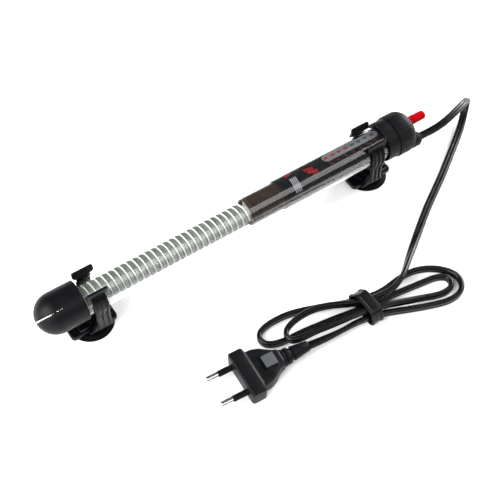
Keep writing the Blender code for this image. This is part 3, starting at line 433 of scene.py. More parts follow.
# -------- mains lead
# centre line of the lead from the head to the plug: (station, y, height over the floor)
CORD_ROUTE = (
    (289.6, -7.9, 24.1), (298, -8.4, 24.4), (307, -8.6, 25.4), (316.5, -7.2, 26), (326, -4.6, 25.8),
    (335, -1.4, 24.4), (342, 2, 21.2), (346.5, 5, 16.4), (347.5, 6, 11), (344.5, 3.4, 6.6),
    (337.5, -2.4, 4.1), (327, -10, 3.1), (310.5, -21, 3), (292, -33, 3), (271.5, -45.5, 3),
    (252.2, -58.5, 3.1), (236.7, -69.5, 4.2), (224.6, -78.5, 6.8), (214, -85.8, 8.6),
    (202.5, -89.8, 9), (190.5, -89.4, 9), (179.5, -86.5, 9), (169.5, -81.8, 9), (160, -77, 8.8),
    (150.5, -74.4, 8.6), (141, -74.2, 8.6), (133, -75.8, 8.6), (127.4, -79.8, 8.6),
    (127.4, -84.4, 8.6), (132.5, -87, 8.8), (142, -88, 8.8), (153, -89.6, 8.8), (164, -91.2, 9),
    (176, -93, 9), (187, -95.8, 8.8), (198, -98.8, 7.4), (208.5, -101.6, 5.4), (218, -104.2, 3.8),
    (227, -107.2, 3.1), (234.5, -108, 3), (239.8, -105.4, 3), (240.6, -100.6, 3), (236.6, -97, 3),
    (228, -94.8, 3), (216, -93, 3), (204, -91.4, 3.2), (192, -90.4, 3.6), (180, -88.8, 3.7),
    (167, -86.2, 3.4), (154, -83.8, 3.1), (141.5, -82, 3), (130, -80.8, 3), (120, -79, 3),
    (114.3, -74.8, 3), (114.6, -69.2, 3), (120, -65.8, 3), (129, -65, 3), (139, -66, 3),
    (149, -69, 3), (159.5, -73, 3), (170, -77.8, 3.4), (180.5, -81.8, 3.7), (191, -84.4, 3.6),
    (202, -84.8, 3.2), (213, -83.5, 3), (224, -83.8, 3), (234.5, -87.6, 3), (243, -94.8, 3),
    (246.8, -103.8, 3), (242.8, -111.8, 3), (233, -114.5, 3), (221, -111.8, 3), (208.5, -107, 3.1),
    (196, -101.8, 3.5), (184, -97.4, 3.7), (172, -95.4, 3.9), (160, -95, 4.6), (149, -94.6, 5.6),
    (140, -94, 6.6), (134.9, -93.4, 7),
)
CORD_W, CORD_H, CORD_GROOVE = 5.6, 3.4, 0.28  # flat twin lead with a groove down each face
CORD_ROUTE_Z = 3.0  # height of the route where the lead lies down
# how the flat lead is rolled along its route: (route point, degrees), 0 flat and 90 on edge
CORD_ROLL = ((0, 0), (15, 0), (18, 90), (75, 90), (79, 0))
FLAT_FROM, FLAT_FULL = 8, 11  # where the lead comes down to the floor


def twin_section():
    """Outline of a flat twin lead: two round cores side by side under one skin."""
    half, reach = CORD_H / 2, (CORD_W - CORD_H) / 2
    upper = arc(reach, 0, half, -80, 80, 7)
    for u in (0.8, 0.4, 0.0, -0.4, -0.8):
        upper.append((u * reach, half - CORD_GROOVE * math.exp(-(2.2 * u) ** 2)))
    return upper + [(-u, -v) for u, v in upper]


def horizontal_angles(tangents, normals):
    """How far each carried normal must turn to lie level, continuous along the curve."""
    angles = []
    for tangent, normal in zip(tangents, normals):
        level = np.cross(tangent, (0.0, 0.0, 1.0))
        size = np.linalg.norm(level)
        if size < 0.35 and angles:
            angles.append(angles[-1])
            continue
        level /= size
        a = math.atan2(np.dot(level, np.cross(tangent, normal)), np.dot(level, normal))
        if angles:
            a += math.pi * round((angles[-1] - a) / math.pi)
        angles.append(a)
    return np.array(angles)


def build_cord():
    route = np.array(CORD_ROUTE)
    points = smooth_curve(route, 1.5)
    knots = np.concatenate(([0.0], np.cumsum(np.linalg.norm(np.diff(route, axis=0), axis=1))))
    run = np.concatenate(([0.0], np.cumsum(np.linalg.norm(np.diff(points, axis=0), axis=1))))
    index = np.interp(run / run[-1], knots / knots[-1], np.arange(len(route)))
    roll = np.interp(index, [i for i, _ in CORD_ROLL], [a for _, a in CORD_ROLL])
    roll = np.radians(np.convolve(np.pad(roll, 12, mode="edge"), np.ones(25) / 25, "valid"))
    half = np.hypot(CORD_W / 2 * np.sin(roll), CORD_H / 2 * np.cos(roll))
    settled = np.clip((index - FLAT_FROM) / (FLAT_FULL - FLAT_FROM), 0, 1)
    points[:, 2] -= settled * (CORD_ROUTE_Z - half - 0.05) * (index < CORD_ROLL[3][0])
    tangents, normals = carried_frames(points)
    angles = horizontal_angles(tangents, normals) + roll
    shape = swept(points, twin_section(), angles)
    piece = build("mains_lead", CORD_BLACK, shape, ["cord"], crease=50)
    centre = [world(*p) for p in points]
    return piece, centre, float(run[-1]) * MM


cord, cord_path, cord_length = build_cord()


# -------- mesh tools
def joined(*shapes):
    """Several (verts, faces) as one."""
    verts, faces = [], []
    for part_verts, part_faces in shapes:
        start = len(verts)
        verts += list(part_verts)
        faces += [tuple(i + start for i in face) for face in part_faces]
    return verts, faces


def evaluated(obj):
    """Verts and faces of an object as its modifiers leave it; the object is dropped."""
    bpy.context.view_layer.update()
    graph = bpy.context.evaluated_depsgraph_get()
    mesh = bpy.data.meshes.new_from_object(obj.evaluated_get(graph))
    shape = [v.co.copy() for v in mesh.vertices], [tuple(p.vertices) for p in mesh.polygons]
    bpy.data.meshes.remove(mesh)
    bpy.data.objects.remove(obj, do_unlink=True)
    return shape


def carved(shape, cutters, operation="DIFFERENCE"):
    """Boolean of a shape with others."""
    obj = mesh_object("carved", *shape)
    tools = [mesh_object("tool", *cutter) for cutter in cutters]
    for tool in tools:
        mod = obj.modifiers.new("boolean", "BOOLEAN")
        mod.operation, mod.solver, mod.object = operation, "EXACT", tool
    result = evaluated(obj)
    for tool in tools:
        bpy.data.objects.remove(tool, do_unlink=True)
    return result


def slab(outlines, thickness, bevel, place, middle=0.0, rounds=2):
    """A plate from outlines in mm, the first outside and the rest holes, with round edges.
    place(u, v, w) gives the world point, w across the plate about its middle."""
    curve = bpy.data.curves.new("outline", "CURVE")
    curve.dimensions = "2D"
    curve.fill_mode = "BOTH"
    for outline in outlines:
        spline = curve.splines.new("POLY")
        spline.points.add(len(outline) - 1)
        spline.use_cyclic_u = True
        for point, (u, v) in zip(spline.points, outline):
            point.co = (u, v, 0.0, 1.0)
    curve.extrude = thickness / 2 - bevel
    curve.bevel_depth = bevel
    curve.bevel_resolution = rounds
    curve.offset = -bevel
    obj = bpy.data.objects.new("outline", curve)
    bpy.context.scene.collection.objects.link(obj)
    verts, faces = evaluated(obj)
    return [place(v.x, v.y, middle + v.z) for v in verts], faces


def across_x(x):
    """Plate standing across the heater: outline in (y, z) from the axis, centred on x."""
    return lambda u, v, w: axial(x + w, u, v)


def ring_arc(radius, start, end, steps):
    return arc(0, 0, radius, start, end, steps)


# -------- glass tube and end guard
SIDES = 96
glass_x0, glass_x1, glass_r = span("glass_tube")
GLASS_WALL = 1.1
PINHOLE = 0.02  # radians off the axis where a nose begins


def domed(x0, x1, r_out, r_in, steps, rim):
    """A tube with a round nose at x0, whose two pinholes on the axis are closed with faces."""
    nose = x0 + r_out
    angles = np.linspace(PINHOLE, math.pi / 2, steps)
    outer = [(nose - r_out * math.cos(a), r_out * math.sin(a)) for a in angles]
    inner = [(nose - r_in * math.cos(a), r_in * math.sin(a)) for a in reversed(angles)]
    end = [(x1 - rim, r_out), (x1, r_out - rim), (x1, r_in + rim), (x1 - rim, r_in)]
    return joined_rings(rings_of(outer + end + inner, SIDES, about_axis()), closed=False)


build("glass_envelope", GLASS, domed(glass_x0, glass_x1, glass_r, glass_r - GLASS_WALL, 14, 0.25),
      ["glass_tube"])

guard_x0, guard_x1, guard_r = span("end_guard")
GUARD_WALL = 1.05
GUARD_SLOT_W, GUARD_SLOT_END = 1.1, 10.6
GUARD_VENT_W, GUARD_VENTS = 0.7, (12.4, 17.0)
GUARD_SLOT_ANGLES = (32.0, 122.0)


def radial_slot(degrees, width, x0, x1):
    """Cutter through both walls of the guard, its inner end round."""
    turn = math.radians(degrees)
    reach = 2 * guard_r
    outline = [(x0, -width / 2)] + arc(x1 - width / 2, 0, width / 2, -90, 90, 6) + [(x0, width / 2)]
    rings = []
    for side in (-reach, reach):
        rings.append([axial(x, side * math.cos(turn) - w * math.sin(turn),
                            side * math.sin(turn) + w * math.cos(turn)) for x, w in outline])
    return joined_rings(rings, closed=False)


guard_cuts = []
for angle in GUARD_SLOT_ANGLES:
    guard_cuts.append(radial_slot(angle, GUARD_SLOT_W, guard_x0 - 5, GUARD_SLOT_END))
    guard_cuts.append(radial_slot(angle, GUARD_VENT_W, *GUARD_VENTS))
guard_shape = domed(guard_x0, guard_x1, guard_r, guard_r - GUARD_WALL, 20, 0.3)
build("tube_end_guard", GUARD_BLACK, carved(guard_shape, guard_cuts),
      ["end_guard"], "guard")

# -------- heating element
core_x0, core_x1, core_r = span("ceramic_core")
coil_x0, coil_x1, coil_r = span("heating_coil")
CORE_BORE_R = 1.6
COIL_TURNS, FINE_LOOPS_PER_TURN = 27, 66
FINE_COIL_R, FINE_COIL_HALF_W, FINE_WIRE_R = 1.15, 1.6, 0.21
FINE_STEPS, FINE_SIDES = 7, 3
RIDGE_R, RIDGE_W, RIDGE_STEPS = 7.6, 0.42, 48  # ridge of the core between turns
band_r = coil_r - FINE_COIL_R - FINE_WIRE_R  # where the wound wire's centre runs
coil_start = coil_x0 + FINE_COIL_HALF_W
coil_pitch = (coil_x1 - coil_x0 - 2 * FINE_COIL_HALF_W) / COIL_TURNS


def ridge():
    """Thin helical fin standing on the core between the turns of wire."""
    rings = []
    total = (COIL_TURNS + 1) * RIDGE_STEPS
    for step in range(total + 1):
        turns = step / RIDGE_STEPS - 0.5
        angle = 2 * math.pi * turns
        x = coil_start + coil_pitch * (turns - 0.5)
        foot, tip = core_r - 0.3, RIDGE_R
        section = ((x - RIDGE_W / 2, foot), (x - RIDGE_W * 0.35, tip), (x + RIDGE_W * 0.35, tip),
                   (x + RIDGE_W / 2, foot))
        rings.append([axial(t, r * math.cos(angle), r * math.sin(angle)) for t, r in section])
    return joined_rings(rings, closed=False)


core_profile = [(core_x0, CORE_BORE_R), (core_x0, core_r - 0.3), (core_x0 + 0.3, core_r),
                (core_x1 - 0.3, core_r), (core_x1, core_r - 0.3), (core_x1, CORE_BORE_R)]
build("ceramic_former", CERAMIC, joined(turned(core_profile, 48, about_axis()), ridge()),
      ["ceramic_core"])


def fine_coil():
    """Resistance wire wound into a fine coil, and that coil wound round the core."""
    loops = COIL_TURNS * FINE_LOOPS_PER_TURN
    points = []
    for step in range(loops * FINE_STEPS + 1):
        turns = step / (FINE_STEPS * FINE_LOOPS_PER_TURN)
        angle = 2 * math.pi * turns
        loop = 2 * math.pi * step / FINE_STEPS
        r = band_r + FINE_COIL_R * math.cos(loop)
        x = coil_start + coil_pitch * turns + FINE_COIL_HALF_W * math.sin(loop)
        points.append(on_axis(x, r * math.cos(angle), r * math.sin(angle)))
    section = ring_arc(FINE_WIRE_R, 0, 360 * (1 - 1 / FINE_SIDES), FINE_SIDES - 1)
    return swept(np.array(points), section)


build("element_winding", WIRE, fine_coil(), ["heating_coil"], crease=80)

# -------- smoked sleeve and label
sleeve_x0, sleeve_x1, sleeve_r = span("thermostat_sleeve")
SLEEVE_WALL = 0.7
sleeve_profile = [(sleeve_x0, sleeve_r - SLEEVE_WALL + 0.15), (sleeve_x0, sleeve_r - 0.15),
                  (sleeve_x0 + 0.15, sleeve_r), (sleeve_x1, sleeve_r),
                  (sleeve_x1, sleeve_r - SLEEVE_WALL), (sleeve_x0 + 0.15, sleeve_r - SLEEVE_WALL)]
build("smoked_sleeve", SMOKED, turned(sleeve_profile, SIDES, about_axis()),
      ["thermostat_sleeve"])
label_x0, label_x1, label_r = span("label_wrap")
LABEL_T, LABEL_SKIN = 0.55, 0.06  # film wall, and how far the print stands off
film_r = label_r - LABEL_SKIN
film_profile = [(label_x0, film_r - LABEL_T), (label_x0, film_r), (label_x1, film_r),
                (label_x1, film_r - LABEL_T)]
build("label_film", FILM_BLACK, turned(film_profile, SIDES, about_axis()),
      ["label_wrap"])


# -------- print on the label
STRIP_W = 0.8  # marks are cut into strips of this width, which follow the curve
PRINT_ROOT, PRINT_LIFT = 0.02, 0.05  # how deep a mark is rooted, and print on print
# angles round the label in degrees, 90 on top and 180 at the front
SCALE_X, SCALE_ANGLES = (212.5, 257.5), (62.0, 99.0)
TICKS, RED_TICKS, TICK_X, TICK_PITCH, TICK_ANGLES = 8, 4, 215.1, 5.4, (76, 87)
TICK_HALF_LEN = 1.4
DIM_ROWS = (  # count, first station, pitch, length, angles
    (7, 214.5, 6.1, 2.2, (105, 108.5)),
    (7, 215.6, 6.1, 2.1, (110.5, 114)),
    (6, 232.0, 2.1, 1.2, (123.5, 126.5)),
)
RINGS, RING_X, RING_PITCH, RING_W, RING_ANGLES = 4, 184.6, 1.35, 0.4, (90.0, 148.0)
# the two red marks: (station, angle) along each, and its width
RED_MARKS = (
    (((196.5, 84), (203.0, 92), (198.0, 100), (205.0, 108), (200.5, 118)), 2.0),
    (((183.0, 60), (188.5, 66), (183.5, 73)), 1.6),
)


def around(degrees):
    return math.radians(degrees) * label_r


def on_label(outline, lift=0.0):
    """A print mark: an outline of (station, mm round the label) as a thin curved solid, lifted
    a hair when it is print on print."""
    turns = [(x, distance / label_r) for x, distance in outline]
    rings = [[axial(x, r * math.cos(a), r * math.sin(a)) for x, a in turns]
             for r in (film_r - PRINT_ROOT + lift, label_r + lift)]
    return joined_rings(rings, closed=False)


def patch(x0, x1, angles, round_ends=False, lift=0.0):
    """A rectangle on the label, cut into strips so that it follows the curve."""
    low, high = around(angles[0]), around(angles[1])
    strips = max(int((high - low) / STRIP_W), 1)
    reach = (high - low) / 2
    shapes = []
    for i in range(strips):
        a, b = low + (high - low) * i / strips, low + (high - low) * (i + 1) / strips
        off_middle = abs((a + b) / 2 - (low + high) / 2)
        cut = reach - math.sqrt(max(reach ** 2 - off_middle ** 2, 0.0)) if round_ends else 0.0
        outline = [(x0 + cut, a), (x1 - cut, a), (x1 - cut, b), (x0 + cut, b)]
        shapes.append(on_label(outline, lift))
    return shapes


def stroke(points, width):
    """A printed line through (station, angle)."""
    places = [Vector((x, around(angle))) for x, angle in points]
    shapes = []
    for start, end in zip(places, places[1:]):
        pieces = max(int(abs(end.y - start.y) / STRIP_W), 1)
        run = (end - start).normalized()
        side = Vector((-run.y, run.x)) * width / 2
        for i in range(pieces):
            p, q = start.lerp(end, i / pieces), start.lerp(end, (i + 1) / pieces)
            shapes.append(on_label([tuple(v) for v in (p + side, q + side, q - side, p - side)]))
    return shapes


def print_marks(name, look, shapes):
    build(name, look, joined(*shapes), smooth=False)


def label_print():
    print_marks("scale_window", PRINT_GREY, patch(*SCALE_X, SCALE_ANGLES, round_ends=True))
    red, dark, dim, rings = [], [], [], []
    for i in range(TICKS):
        x = TICK_X + TICK_PITCH * i
        ink = red if i < RED_TICKS else dark
        ink.extend(patch(x - TICK_HALF_LEN, x + TICK_HALF_LEN, TICK_ANGLES, lift=PRINT_LIFT))
    for count, first, pitch, length, angles in DIM_ROWS:
        for i in range(count):
            dim += patch(first + pitch * i, first + pitch * i + length, angles)
    for points, width in RED_MARKS:
        red += stroke(points, width)
    for i in range(RINGS):
        x = RING_X + RING_PITCH * i
        rings += patch(x, x + RING_W, RING_ANGLES)
    print_marks("label_red_marks", PRINT_RED, red)
    print_marks("label_dim_marks", PRINT_DIM_RED, dim)
    print_marks("label_dark_marks", PRINT_DARK, dark)
    print_marks("label_index_rings", PRINT_WHITE, rings)


label_print()

# -------- head: collar, cap, gland, knob
collar_x0, collar_x1, collar_r = span("head_collar")
COLLAR_BORE_R = 12.3
collar_profile = [(collar_x0, COLLAR_BORE_R), (collar_x0, collar_r - 0.6),
                  (collar_x0 + 0.25, collar_r - 0.15), (collar_x0 + 0.7, collar_r),
                  (collar_x1 - 0.2, collar_r), (collar_x1, collar_r - 0.2),
                  (collar_x1, COLLAR_BORE_R)]
build("head_collar_ring", HEAD_BLACK, turned(collar_profile, SIDES, about_axis()),
      ["head_collar"])

cap_x0, cap_r = span("head_cap")[0], span("head_cap")[2]
CAP_SHOULDER_X, CAP_END_X, CAP_END_R, CAP_WALL_R = 277.0, 284.5, 7.2, 12.4
CAP_RIBS, CAP_RIB_DEPTH, CAP_SIDES = 36, 0.2, 288
CAP_STEP_X, CAP_FLOOR_X, CAP_FLOOR_R, CAP_POLE_R = 279.6, 282.2, 10.2, 0.05
BOSS_Y, BOSS_Z, BOSS_R, BOSS_X0, BOSS_END_X, BOSS_ROUND = -7.9, -4.9, 5.2, 280.4, 288.0, 1.6
SPINDLE_Y, SPINDLE_Z, KNOB_HOLE_R, GLAND_R = 2.7, 1.7, 3.9, 3.0
GAP, BORES_X0, GLAND_ROUND = 0.3, 274.0, 0.5  # gap round a bore, and where the bores' cutters start


def cap_radius(t, r, a):
    """Rounded ribs along the cap's side that fade out over its shoulder."""
    if t <= cap_x0 + 0.1 or r <= CAP_WALL_R:
        return r
    fade = min((t - cap_x0) / 1.2, 1.0) * min(max((CAP_END_X - t) / (CAP_END_X - CAP_SHOULDER_X), 0), 1)
    valley = abs(math.sin(a * CAP_RIBS / 2)) ** 6
    return r - CAP_RIB_DEPTH * fade * valley


cap_profile = [(cap_x0, CAP_WALL_R), (cap_x0, cap_r - 0.6), (cap_x0 + 0.2, cap_r - 0.2),
               (cap_x0 + 0.6, cap_r)]
cap_profile += arc(CAP_SHOULDER_X, CAP_END_R, cap_r - CAP_END_R, 90, 0, 12)
cap_profile += [(CAP_END_X, CAP_POLE_R), (CAP_FLOOR_X, CAP_POLE_R), (CAP_FLOOR_X, CAP_FLOOR_R),
                (CAP_STEP_X, CAP_WALL_R)]


def cap_shape():
    """A cup: rings from the floor's middle out and round to the outer pole, both ends closed."""
    rings = rings_of(cap_profile, CAP_SIDES, about_axis(), cap_radius)
    pole = cap_profile.index((CAP_END_X, CAP_POLE_R))
    return joined_rings(rings[pole + 1:] + rings[:pole + 1], closed=False)


def rod(x0, x1, y, z, r, sides=48):
    return turned([(x0, 0), (x0, r), (x1, r), (x1, 0)], sides, about_axis(y, z))


boss_profile = [(BOSS_X0, 0), (BOSS_X0, BOSS_R)]
boss_profile += arc(BOSS_END_X - BOSS_ROUND, BOSS_R - BOSS_ROUND, BOSS_ROUND, 90, 0, 6)
boss_profile += [(BOSS_END_X, 0)]
boss = turned(boss_profile, 64, about_axis(BOSS_Y, BOSS_Z))
cap_solid = carved(cap_shape(), [boss], "UNION")
cap_solid = carved(cap_solid, [rod(BORES_X0, LENGTH, BOSS_Y, BOSS_Z, GLAND_R + GAP),
                               rod(BORES_X0, LENGTH, SPINDLE_Y, SPINDLE_Z, KNOB_HOLE_R)])
build("ribbed_head_cap", HEAD_BLACK, cap_solid, ["head_cap"])

gland_x0, gland_x1, gland_r = span("cord_gland")
gland_back = BOSS_END_X + GAP
gland_profile = [(gland_x0, 0), (gland_x0, GLAND_R), (gland_back, GLAND_R),
                 (gland_back, gland_r - 0.2), (gland_back + 0.2, gland_r),
                 (gland_x1 - GLAND_ROUND, gland_r)]
gland_profile += arc(gland_x1 - GLAND_ROUND, gland_r - GLAND_ROUND, GLAND_ROUND, 90, 0, 4)
gland_profile += [(gland_x1, 0)]
build("lead_gland", STOPPER_BLACK, turned(gland_profile, 64, about_axis(BOSS_Y, BOSS_Z)),
      ["cord_gland"])

KNOB_X0, KNOB_FLANGE_R, KNOB_FLANGE_X = 280.95, 4.6, 281.85
KNOB_R, KNOB_TIP_R, KNOB_BORE_R, KNOB_BORE_X = 3.5, 3.1, 1.5, 289.0
KNOB_FLUTES, FLUTE_DEPTH, FLUTE_X = 10, 0.16, 286.0


def knob_radius(t, r, a):
    """Shallow flutes along the outer part of the knob."""
    flute_end = LENGTH - 0.6
    if t < FLUTE_X or t > flute_end or r < KNOB_BORE_R + 0.4:
        return r
    fade = min(t - FLUTE_X, 1.0, flute_end - t)
    return r - FLUTE_DEPTH * fade * (0.5 - 0.5 * math.cos(a * KNOB_FLUTES))


knob_profile = [(KNOB_BORE_X, 0), (KNOB_BORE_X, KNOB_BORE_R), (KNOB_X0, KNOB_BORE_R),
                (KNOB_X0, KNOB_FLANGE_R), (KNOB_FLANGE_X, KNOB_FLANGE_R), (KNOB_FLANGE_X, KNOB_R)]
knob_taper = (KNOB_TIP_R - KNOB_R) / (LENGTH - KNOB_FLANGE_X)
knob_profile += [(t, KNOB_R + knob_taper * (t - KNOB_FLANGE_X))
                 for t in np.linspace(FLUTE_X - 0.2, LENGTH - 1.6, 10)]
knob_profile += arc(LENGTH - 1.4, KNOB_TIP_R - 1.4, 1.4, 90, 0, 6) + [(LENGTH, 0)]
knob_shape = turned(knob_profile, 80, about_axis(SPINDLE_Y, SPINDLE_Z), knob_radius)
build("temperature_knob", KNOB_RED, knob_shape, ["adjust_knob"], "knob")

# -------- clips, rails, suction cups
# the clip's ring, legs and feet in offsets from the tube's axis
CLIP_R, CLIP_BORE_R, CLIP_W = 14.1, 12.3, 9.6
LEG_Y, LEG_BORE_Y, BRIDGE_Z = 12.3, 10.9, (-18.7, -17.2)
CHANNEL_HALF_W, FOOT_BORE_Y, FOOT_T = 8.6, 6.6, 1.2  # the slot that the rail's tee runs in
LIP_Y0, LIP_Z0 = 8.0, 9.4  # where the ring ends
LIP_W, LIP_MID_Y, LIP_MID_Z, LIP_HALF_H, LIP_T, LIP_LEAN = 14.5, 9.51, 11.6, 2.7, 1.9, 0.1
RIB_OFFSETS, RIB_W, RIB_H, RIB_ROOT = (-3.4, 0.0, 3.4), 1.2, 0.8, 0.6
FLARE_BACK, FLARE_AHEAD, FLARE_Y, FLARE_R = 10.6, 6.4, (8.9, 12.2), 6.0
RAIL_CORNER_R, RAIL_SHIFT, RAIL_TOP, TEE_LEN = 2.5, -1.0, 6.4, 22.0
SOCKET = [(0.0, 0), (0.0, 2.9), (4.35, 2.9), (4.35, 4.0), (6.2, 4.0), (6.2, 0)]
LIP_ANGLE = math.degrees(math.atan2(LIP_Z0, LIP_Y0))


def angle_at(y, radius):
    """Where a ring about the axis passes this y below the axis, in degrees."""
    return -math.degrees(math.acos(y / radius))


def rounded_rectangle(x, y, half_len, half_w, corner, steps=6):
    outline = []
    for cx, cy, start in ((1, 1, 0), (-1, 1, 90), (-1, -1, 180), (1, -1, 270)):
        outline += arc(x + cx * (half_len - corner), y + cy * (half_w - corner), corner,
                       start, start + 90, steps)
    return outline


def clip_body(x, foot):
    """The snap ring on its two legs, with a channel along its foot and a window over the bridge."""
    leg_angle, bore_lip = angle_at(LEG_Y, CLIP_R), -angle_at(LIP_Y0, CLIP_BORE_R)
    foot_top = foot + FOOT_T
    outline = [(LEG_Y, foot)] + ring_arc(CLIP_R, leg_angle, LIP_ANGLE, 20)
    outline += ring_arc(CLIP_BORE_R, bore_lip, -180 - bore_lip, 60)
    outline += ring_arc(CLIP_R, 180 - LIP_ANGLE, 180 - leg_angle, 20) + [(-LEG_Y, foot)]
    outline += [(-FOOT_BORE_Y, foot), (-FOOT_BORE_Y, foot_top), (-CHANNEL_HALF_W, foot_top),
                (-CHANNEL_HALF_W, BRIDGE_Z[0]), (CHANNEL_HALF_W, BRIDGE_Z[0]),
                (CHANNEL_HALF_W, foot_top), (FOOT_BORE_Y, foot_top), (FOOT_BORE_Y, foot)]
    window_angle = angle_at(LEG_BORE_Y, CLIP_R)
    window = [(-LEG_BORE_Y, BRIDGE_Z[1])]
    window += ring_arc(CLIP_R, -180 - window_angle, window_angle, 16)
    window += [(LEG_BORE_Y, BRIDGE_Z[1])]
    return slab([outline, softened(window, 0.8)], CLIP_W, 0.28, across_x(x))


def clip_side(x, foot, side):
    """The lip, the three ribs and the flared foot on one side of a clip."""
    lip = rounded_rectangle(x, LIP_MID_Z, LIP_W / 2, LIP_HALF_H, 1.4)
    shapes = [slab([lip], LIP_T, 0.7,
                   lambda u, v, w: axial(u, side * (LIP_MID_Y + LIP_LEAN * (v - LIP_MID_Z) + w), v),
                   rounds=3)]
    rib_r, foot_z = CLIP_R + RIB_H, foot + FOOT_T
    rib = [(LEG_Y + RIB_H, foot_z)]
    rib += ring_arc(rib_r, angle_at(LEG_Y + RIB_H, rib_r), LIP_ANGLE - 5, 20)
    rib += ring_arc(CLIP_R - RIB_ROOT, LIP_ANGLE - 3, angle_at(LEG_Y, CLIP_R) + 1, 20)
    rib.append((LEG_Y - RIB_ROOT, foot_z))
    for offset in RIB_OFFSETS:
        shapes.append(slab([[(side * y, z) for y, z in rib]], RIB_W, 0.25, across_x(x + offset),
                           rounds=1))
    flare = [(x - FLARE_BACK, foot), (x + FLARE_AHEAD, foot), (x + FLARE_AHEAD, foot_z),
             (x, foot + FLARE_R)]
    flare += arc(x - FLARE_BACK, foot_z + FLARE_R, FLARE_R, 0, -90, 8)
    flare_y = sum(FLARE_Y) / 2
    shapes.append(slab([flare], FLARE_Y[1] - FLARE_Y[0], 0.3,
                       lambda u, v, w: axial(u, side * flare_y + w, v)))
    return shapes


def clip_piece(end):
    low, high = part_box("clip_" + end)
    x = high.x / MM - STATION_0 - LIP_W / 2
    foot = low.z / MM - AXIS_Z
    shapes = [clip_body(x, foot)] + clip_side(x, foot, -1) + clip_side(x, foot, 1)
    build("suction_clip_" + end, CLIP_BLACK, joined(*shapes), ["clip_" + end],
          end + "_clip")


def rail_piece(end):
    """Base slab with a socket for the cup's head, and the tee that the clip's foot slides on."""
    low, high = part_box("rail_" + end)
    middle = (low.x + high.x) / 2 / MM - STATION_0
    x = middle - RAIL_SHIFT
    half_len, half_w = (high.x - low.x) / 2 / MM, (high.y - low.y) / 2 / MM
    bottom, head_top = low.z / MM, high.z / MM
    plate = slab([rounded_rectangle(middle, 0, half_len, half_w, RAIL_CORNER_R)], RAIL_TOP - bottom,
                 0.7, world, (bottom + RAIL_TOP) / 2, rounds=3)
    neck_y, head_y, neck_top, root = FOOT_BORE_Y - 0.4, CHANNEL_HALF_W - 0.4, 8.2, RAIL_TOP - 0.4
    half = [(neck_y, root), (neck_y, neck_top), (head_y, neck_top), (head_y, head_top)]
    section = half + [(-y, z) for y, z in reversed(half)]
    tee = slab([[(y, z - AXIS_Z) for y, z in section]], TEE_LEN, 0.2, across_x(x))
    socket = turned(SOCKET, 40, lambda t, c, s: world(x + c, s, t))
    build("clip_rail_" + end, CLIP_BLACK, joined(carved(plate, [socket]), tee),
          ["rail_" + end], end + "_rail")


CUP_NECK_R, CUP_HEAD_R = 2.5, 3.7


def cup_piece(end):
    low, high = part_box("cup_" + end)
    x, r = (low.x + high.x) / 2 / MM - STATION_0, (high.x - low.x) / 2 / MM
    under = [(1.3, 0), (1.25, 4.0), (1.0, 7.5), (0.55, 10.5), (0.12, 12.8), (0.0, 13.6), (0.0, r - 0.35)]
    rim = [(0.08, r - 0.1), (0.3, r), (0.6, r - 0.02), (0.85, r - 0.15)]
    upper = [(1.0, 13.6), (1.2, 12.2), (1.32, 12.0), (1.38, 11.6), (1.3, 11.3), (1.5, 9.6),
             (1.85, 7.0), (2.3, 4.6), (2.48, 3.4), (2.6, CUP_NECK_R + 0.15), (2.8, CUP_NECK_R)]
    neck = [(4.6, CUP_NECK_R), (4.6, CUP_HEAD_R), (5.2, CUP_HEAD_R), (5.6, 3.2), (5.9, 2.4), (5.9, 0)]
    shape = turned(under + rim + upper + neck, SIDES, lambda t, c, s: world(x + c, s, t))
    build("suction_cup_" + end, CUP_BLACK, shape, ["cup_" + end], end + "_cup")


for end in ("front", "rear"):
    clip_piece(end)
    rail_piece(end)
    cup_piece(end)

# -------- tie round the hank
tie_low, tie_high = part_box("cord_tie")
TIE_X = (tie_low.x + tie_high.x) / 2 / MM - STATION_0
TIE_W, TIE_WALL = (tie_high.x - tie_low.x) / MM, 0.8
TIE_BEAD, TIE_BEAD_PROUD = 1.9, 0.5  # the thick rim along each edge of the tie
TIE_FLOOR = 0.1  # the rim's lowest height
TIE_INSIDE = [(-99.4, 0.95), (-79.2, 0.95), (-77.7, 3.0), (-78.2, 5.8), (-83.0, 11.2),
              (-86.0, 11.9), (-95.6, 11.9), (-98.6, 10.6), (-101.0, 5.8), (-101.2, 3.2)]


def grown(outline, by):
    """A counter-clockwise outline moved outwards."""
    made = []
    for i, p in enumerate(outline):
        a = np.array(p) - np.array(outline[i - 1])
        b = np.array(outline[(i + 1) % len(outline)]) - np.array(p)
        normals = [np.array((e[1], -e[0])) / np.linalg.norm(e) for e in (a, b)]
        middle = normals[0] + normals[1]
        middle /= np.linalg.norm(middle)
        made.append(tuple(np.array(p) + middle * by / max(float(middle @ normals[0]), 0.5)))
    return made


def tie_place(u, v, w):
    return world(TIE_X + w, u, v)


def tie_piece():
    """A thin band with a thick rim along each edge, round the bundle of leads."""
    inside = softened(TIE_INSIDE, 1.5)
    outside = softened(grown(TIE_INSIDE, TIE_WALL), 1.8)
    bead_out = [(y, max(z, TIE_FLOOR)) for y, z in grown(TIE_INSIDE, TIE_WALL + TIE_BEAD_PROUD)]
    bead_out = softened(bead_out, 2.0)
    shapes = [slab([outside, inside], TIE_W - TIE_BEAD, 0.2, tie_place)]
    for side in (-1, 1):
        middle = side * (TIE_W - TIE_BEAD) / 2
        shapes.append(slab([bead_out, inside], TIE_BEAD, 0.45, tie_place, middle, 3))
    return build("hank_tie", TIE_BLACK, joined(*shapes), ["cord_tie"])


tie = tie_piece()

# -------- plug
PLUG_X, PLUG_Y, PLUG_TURN, PLUG_MID_Z, PLUG_HALF_H = 87.0, -89.3, -4.5, 6.9, 5.9
plug_place = (Matrix.Translation(world(PLUG_X, PLUG_Y, 0))
              @ Matrix.Rotation(math.radians(PLUG_TURN), 4, "Z"))


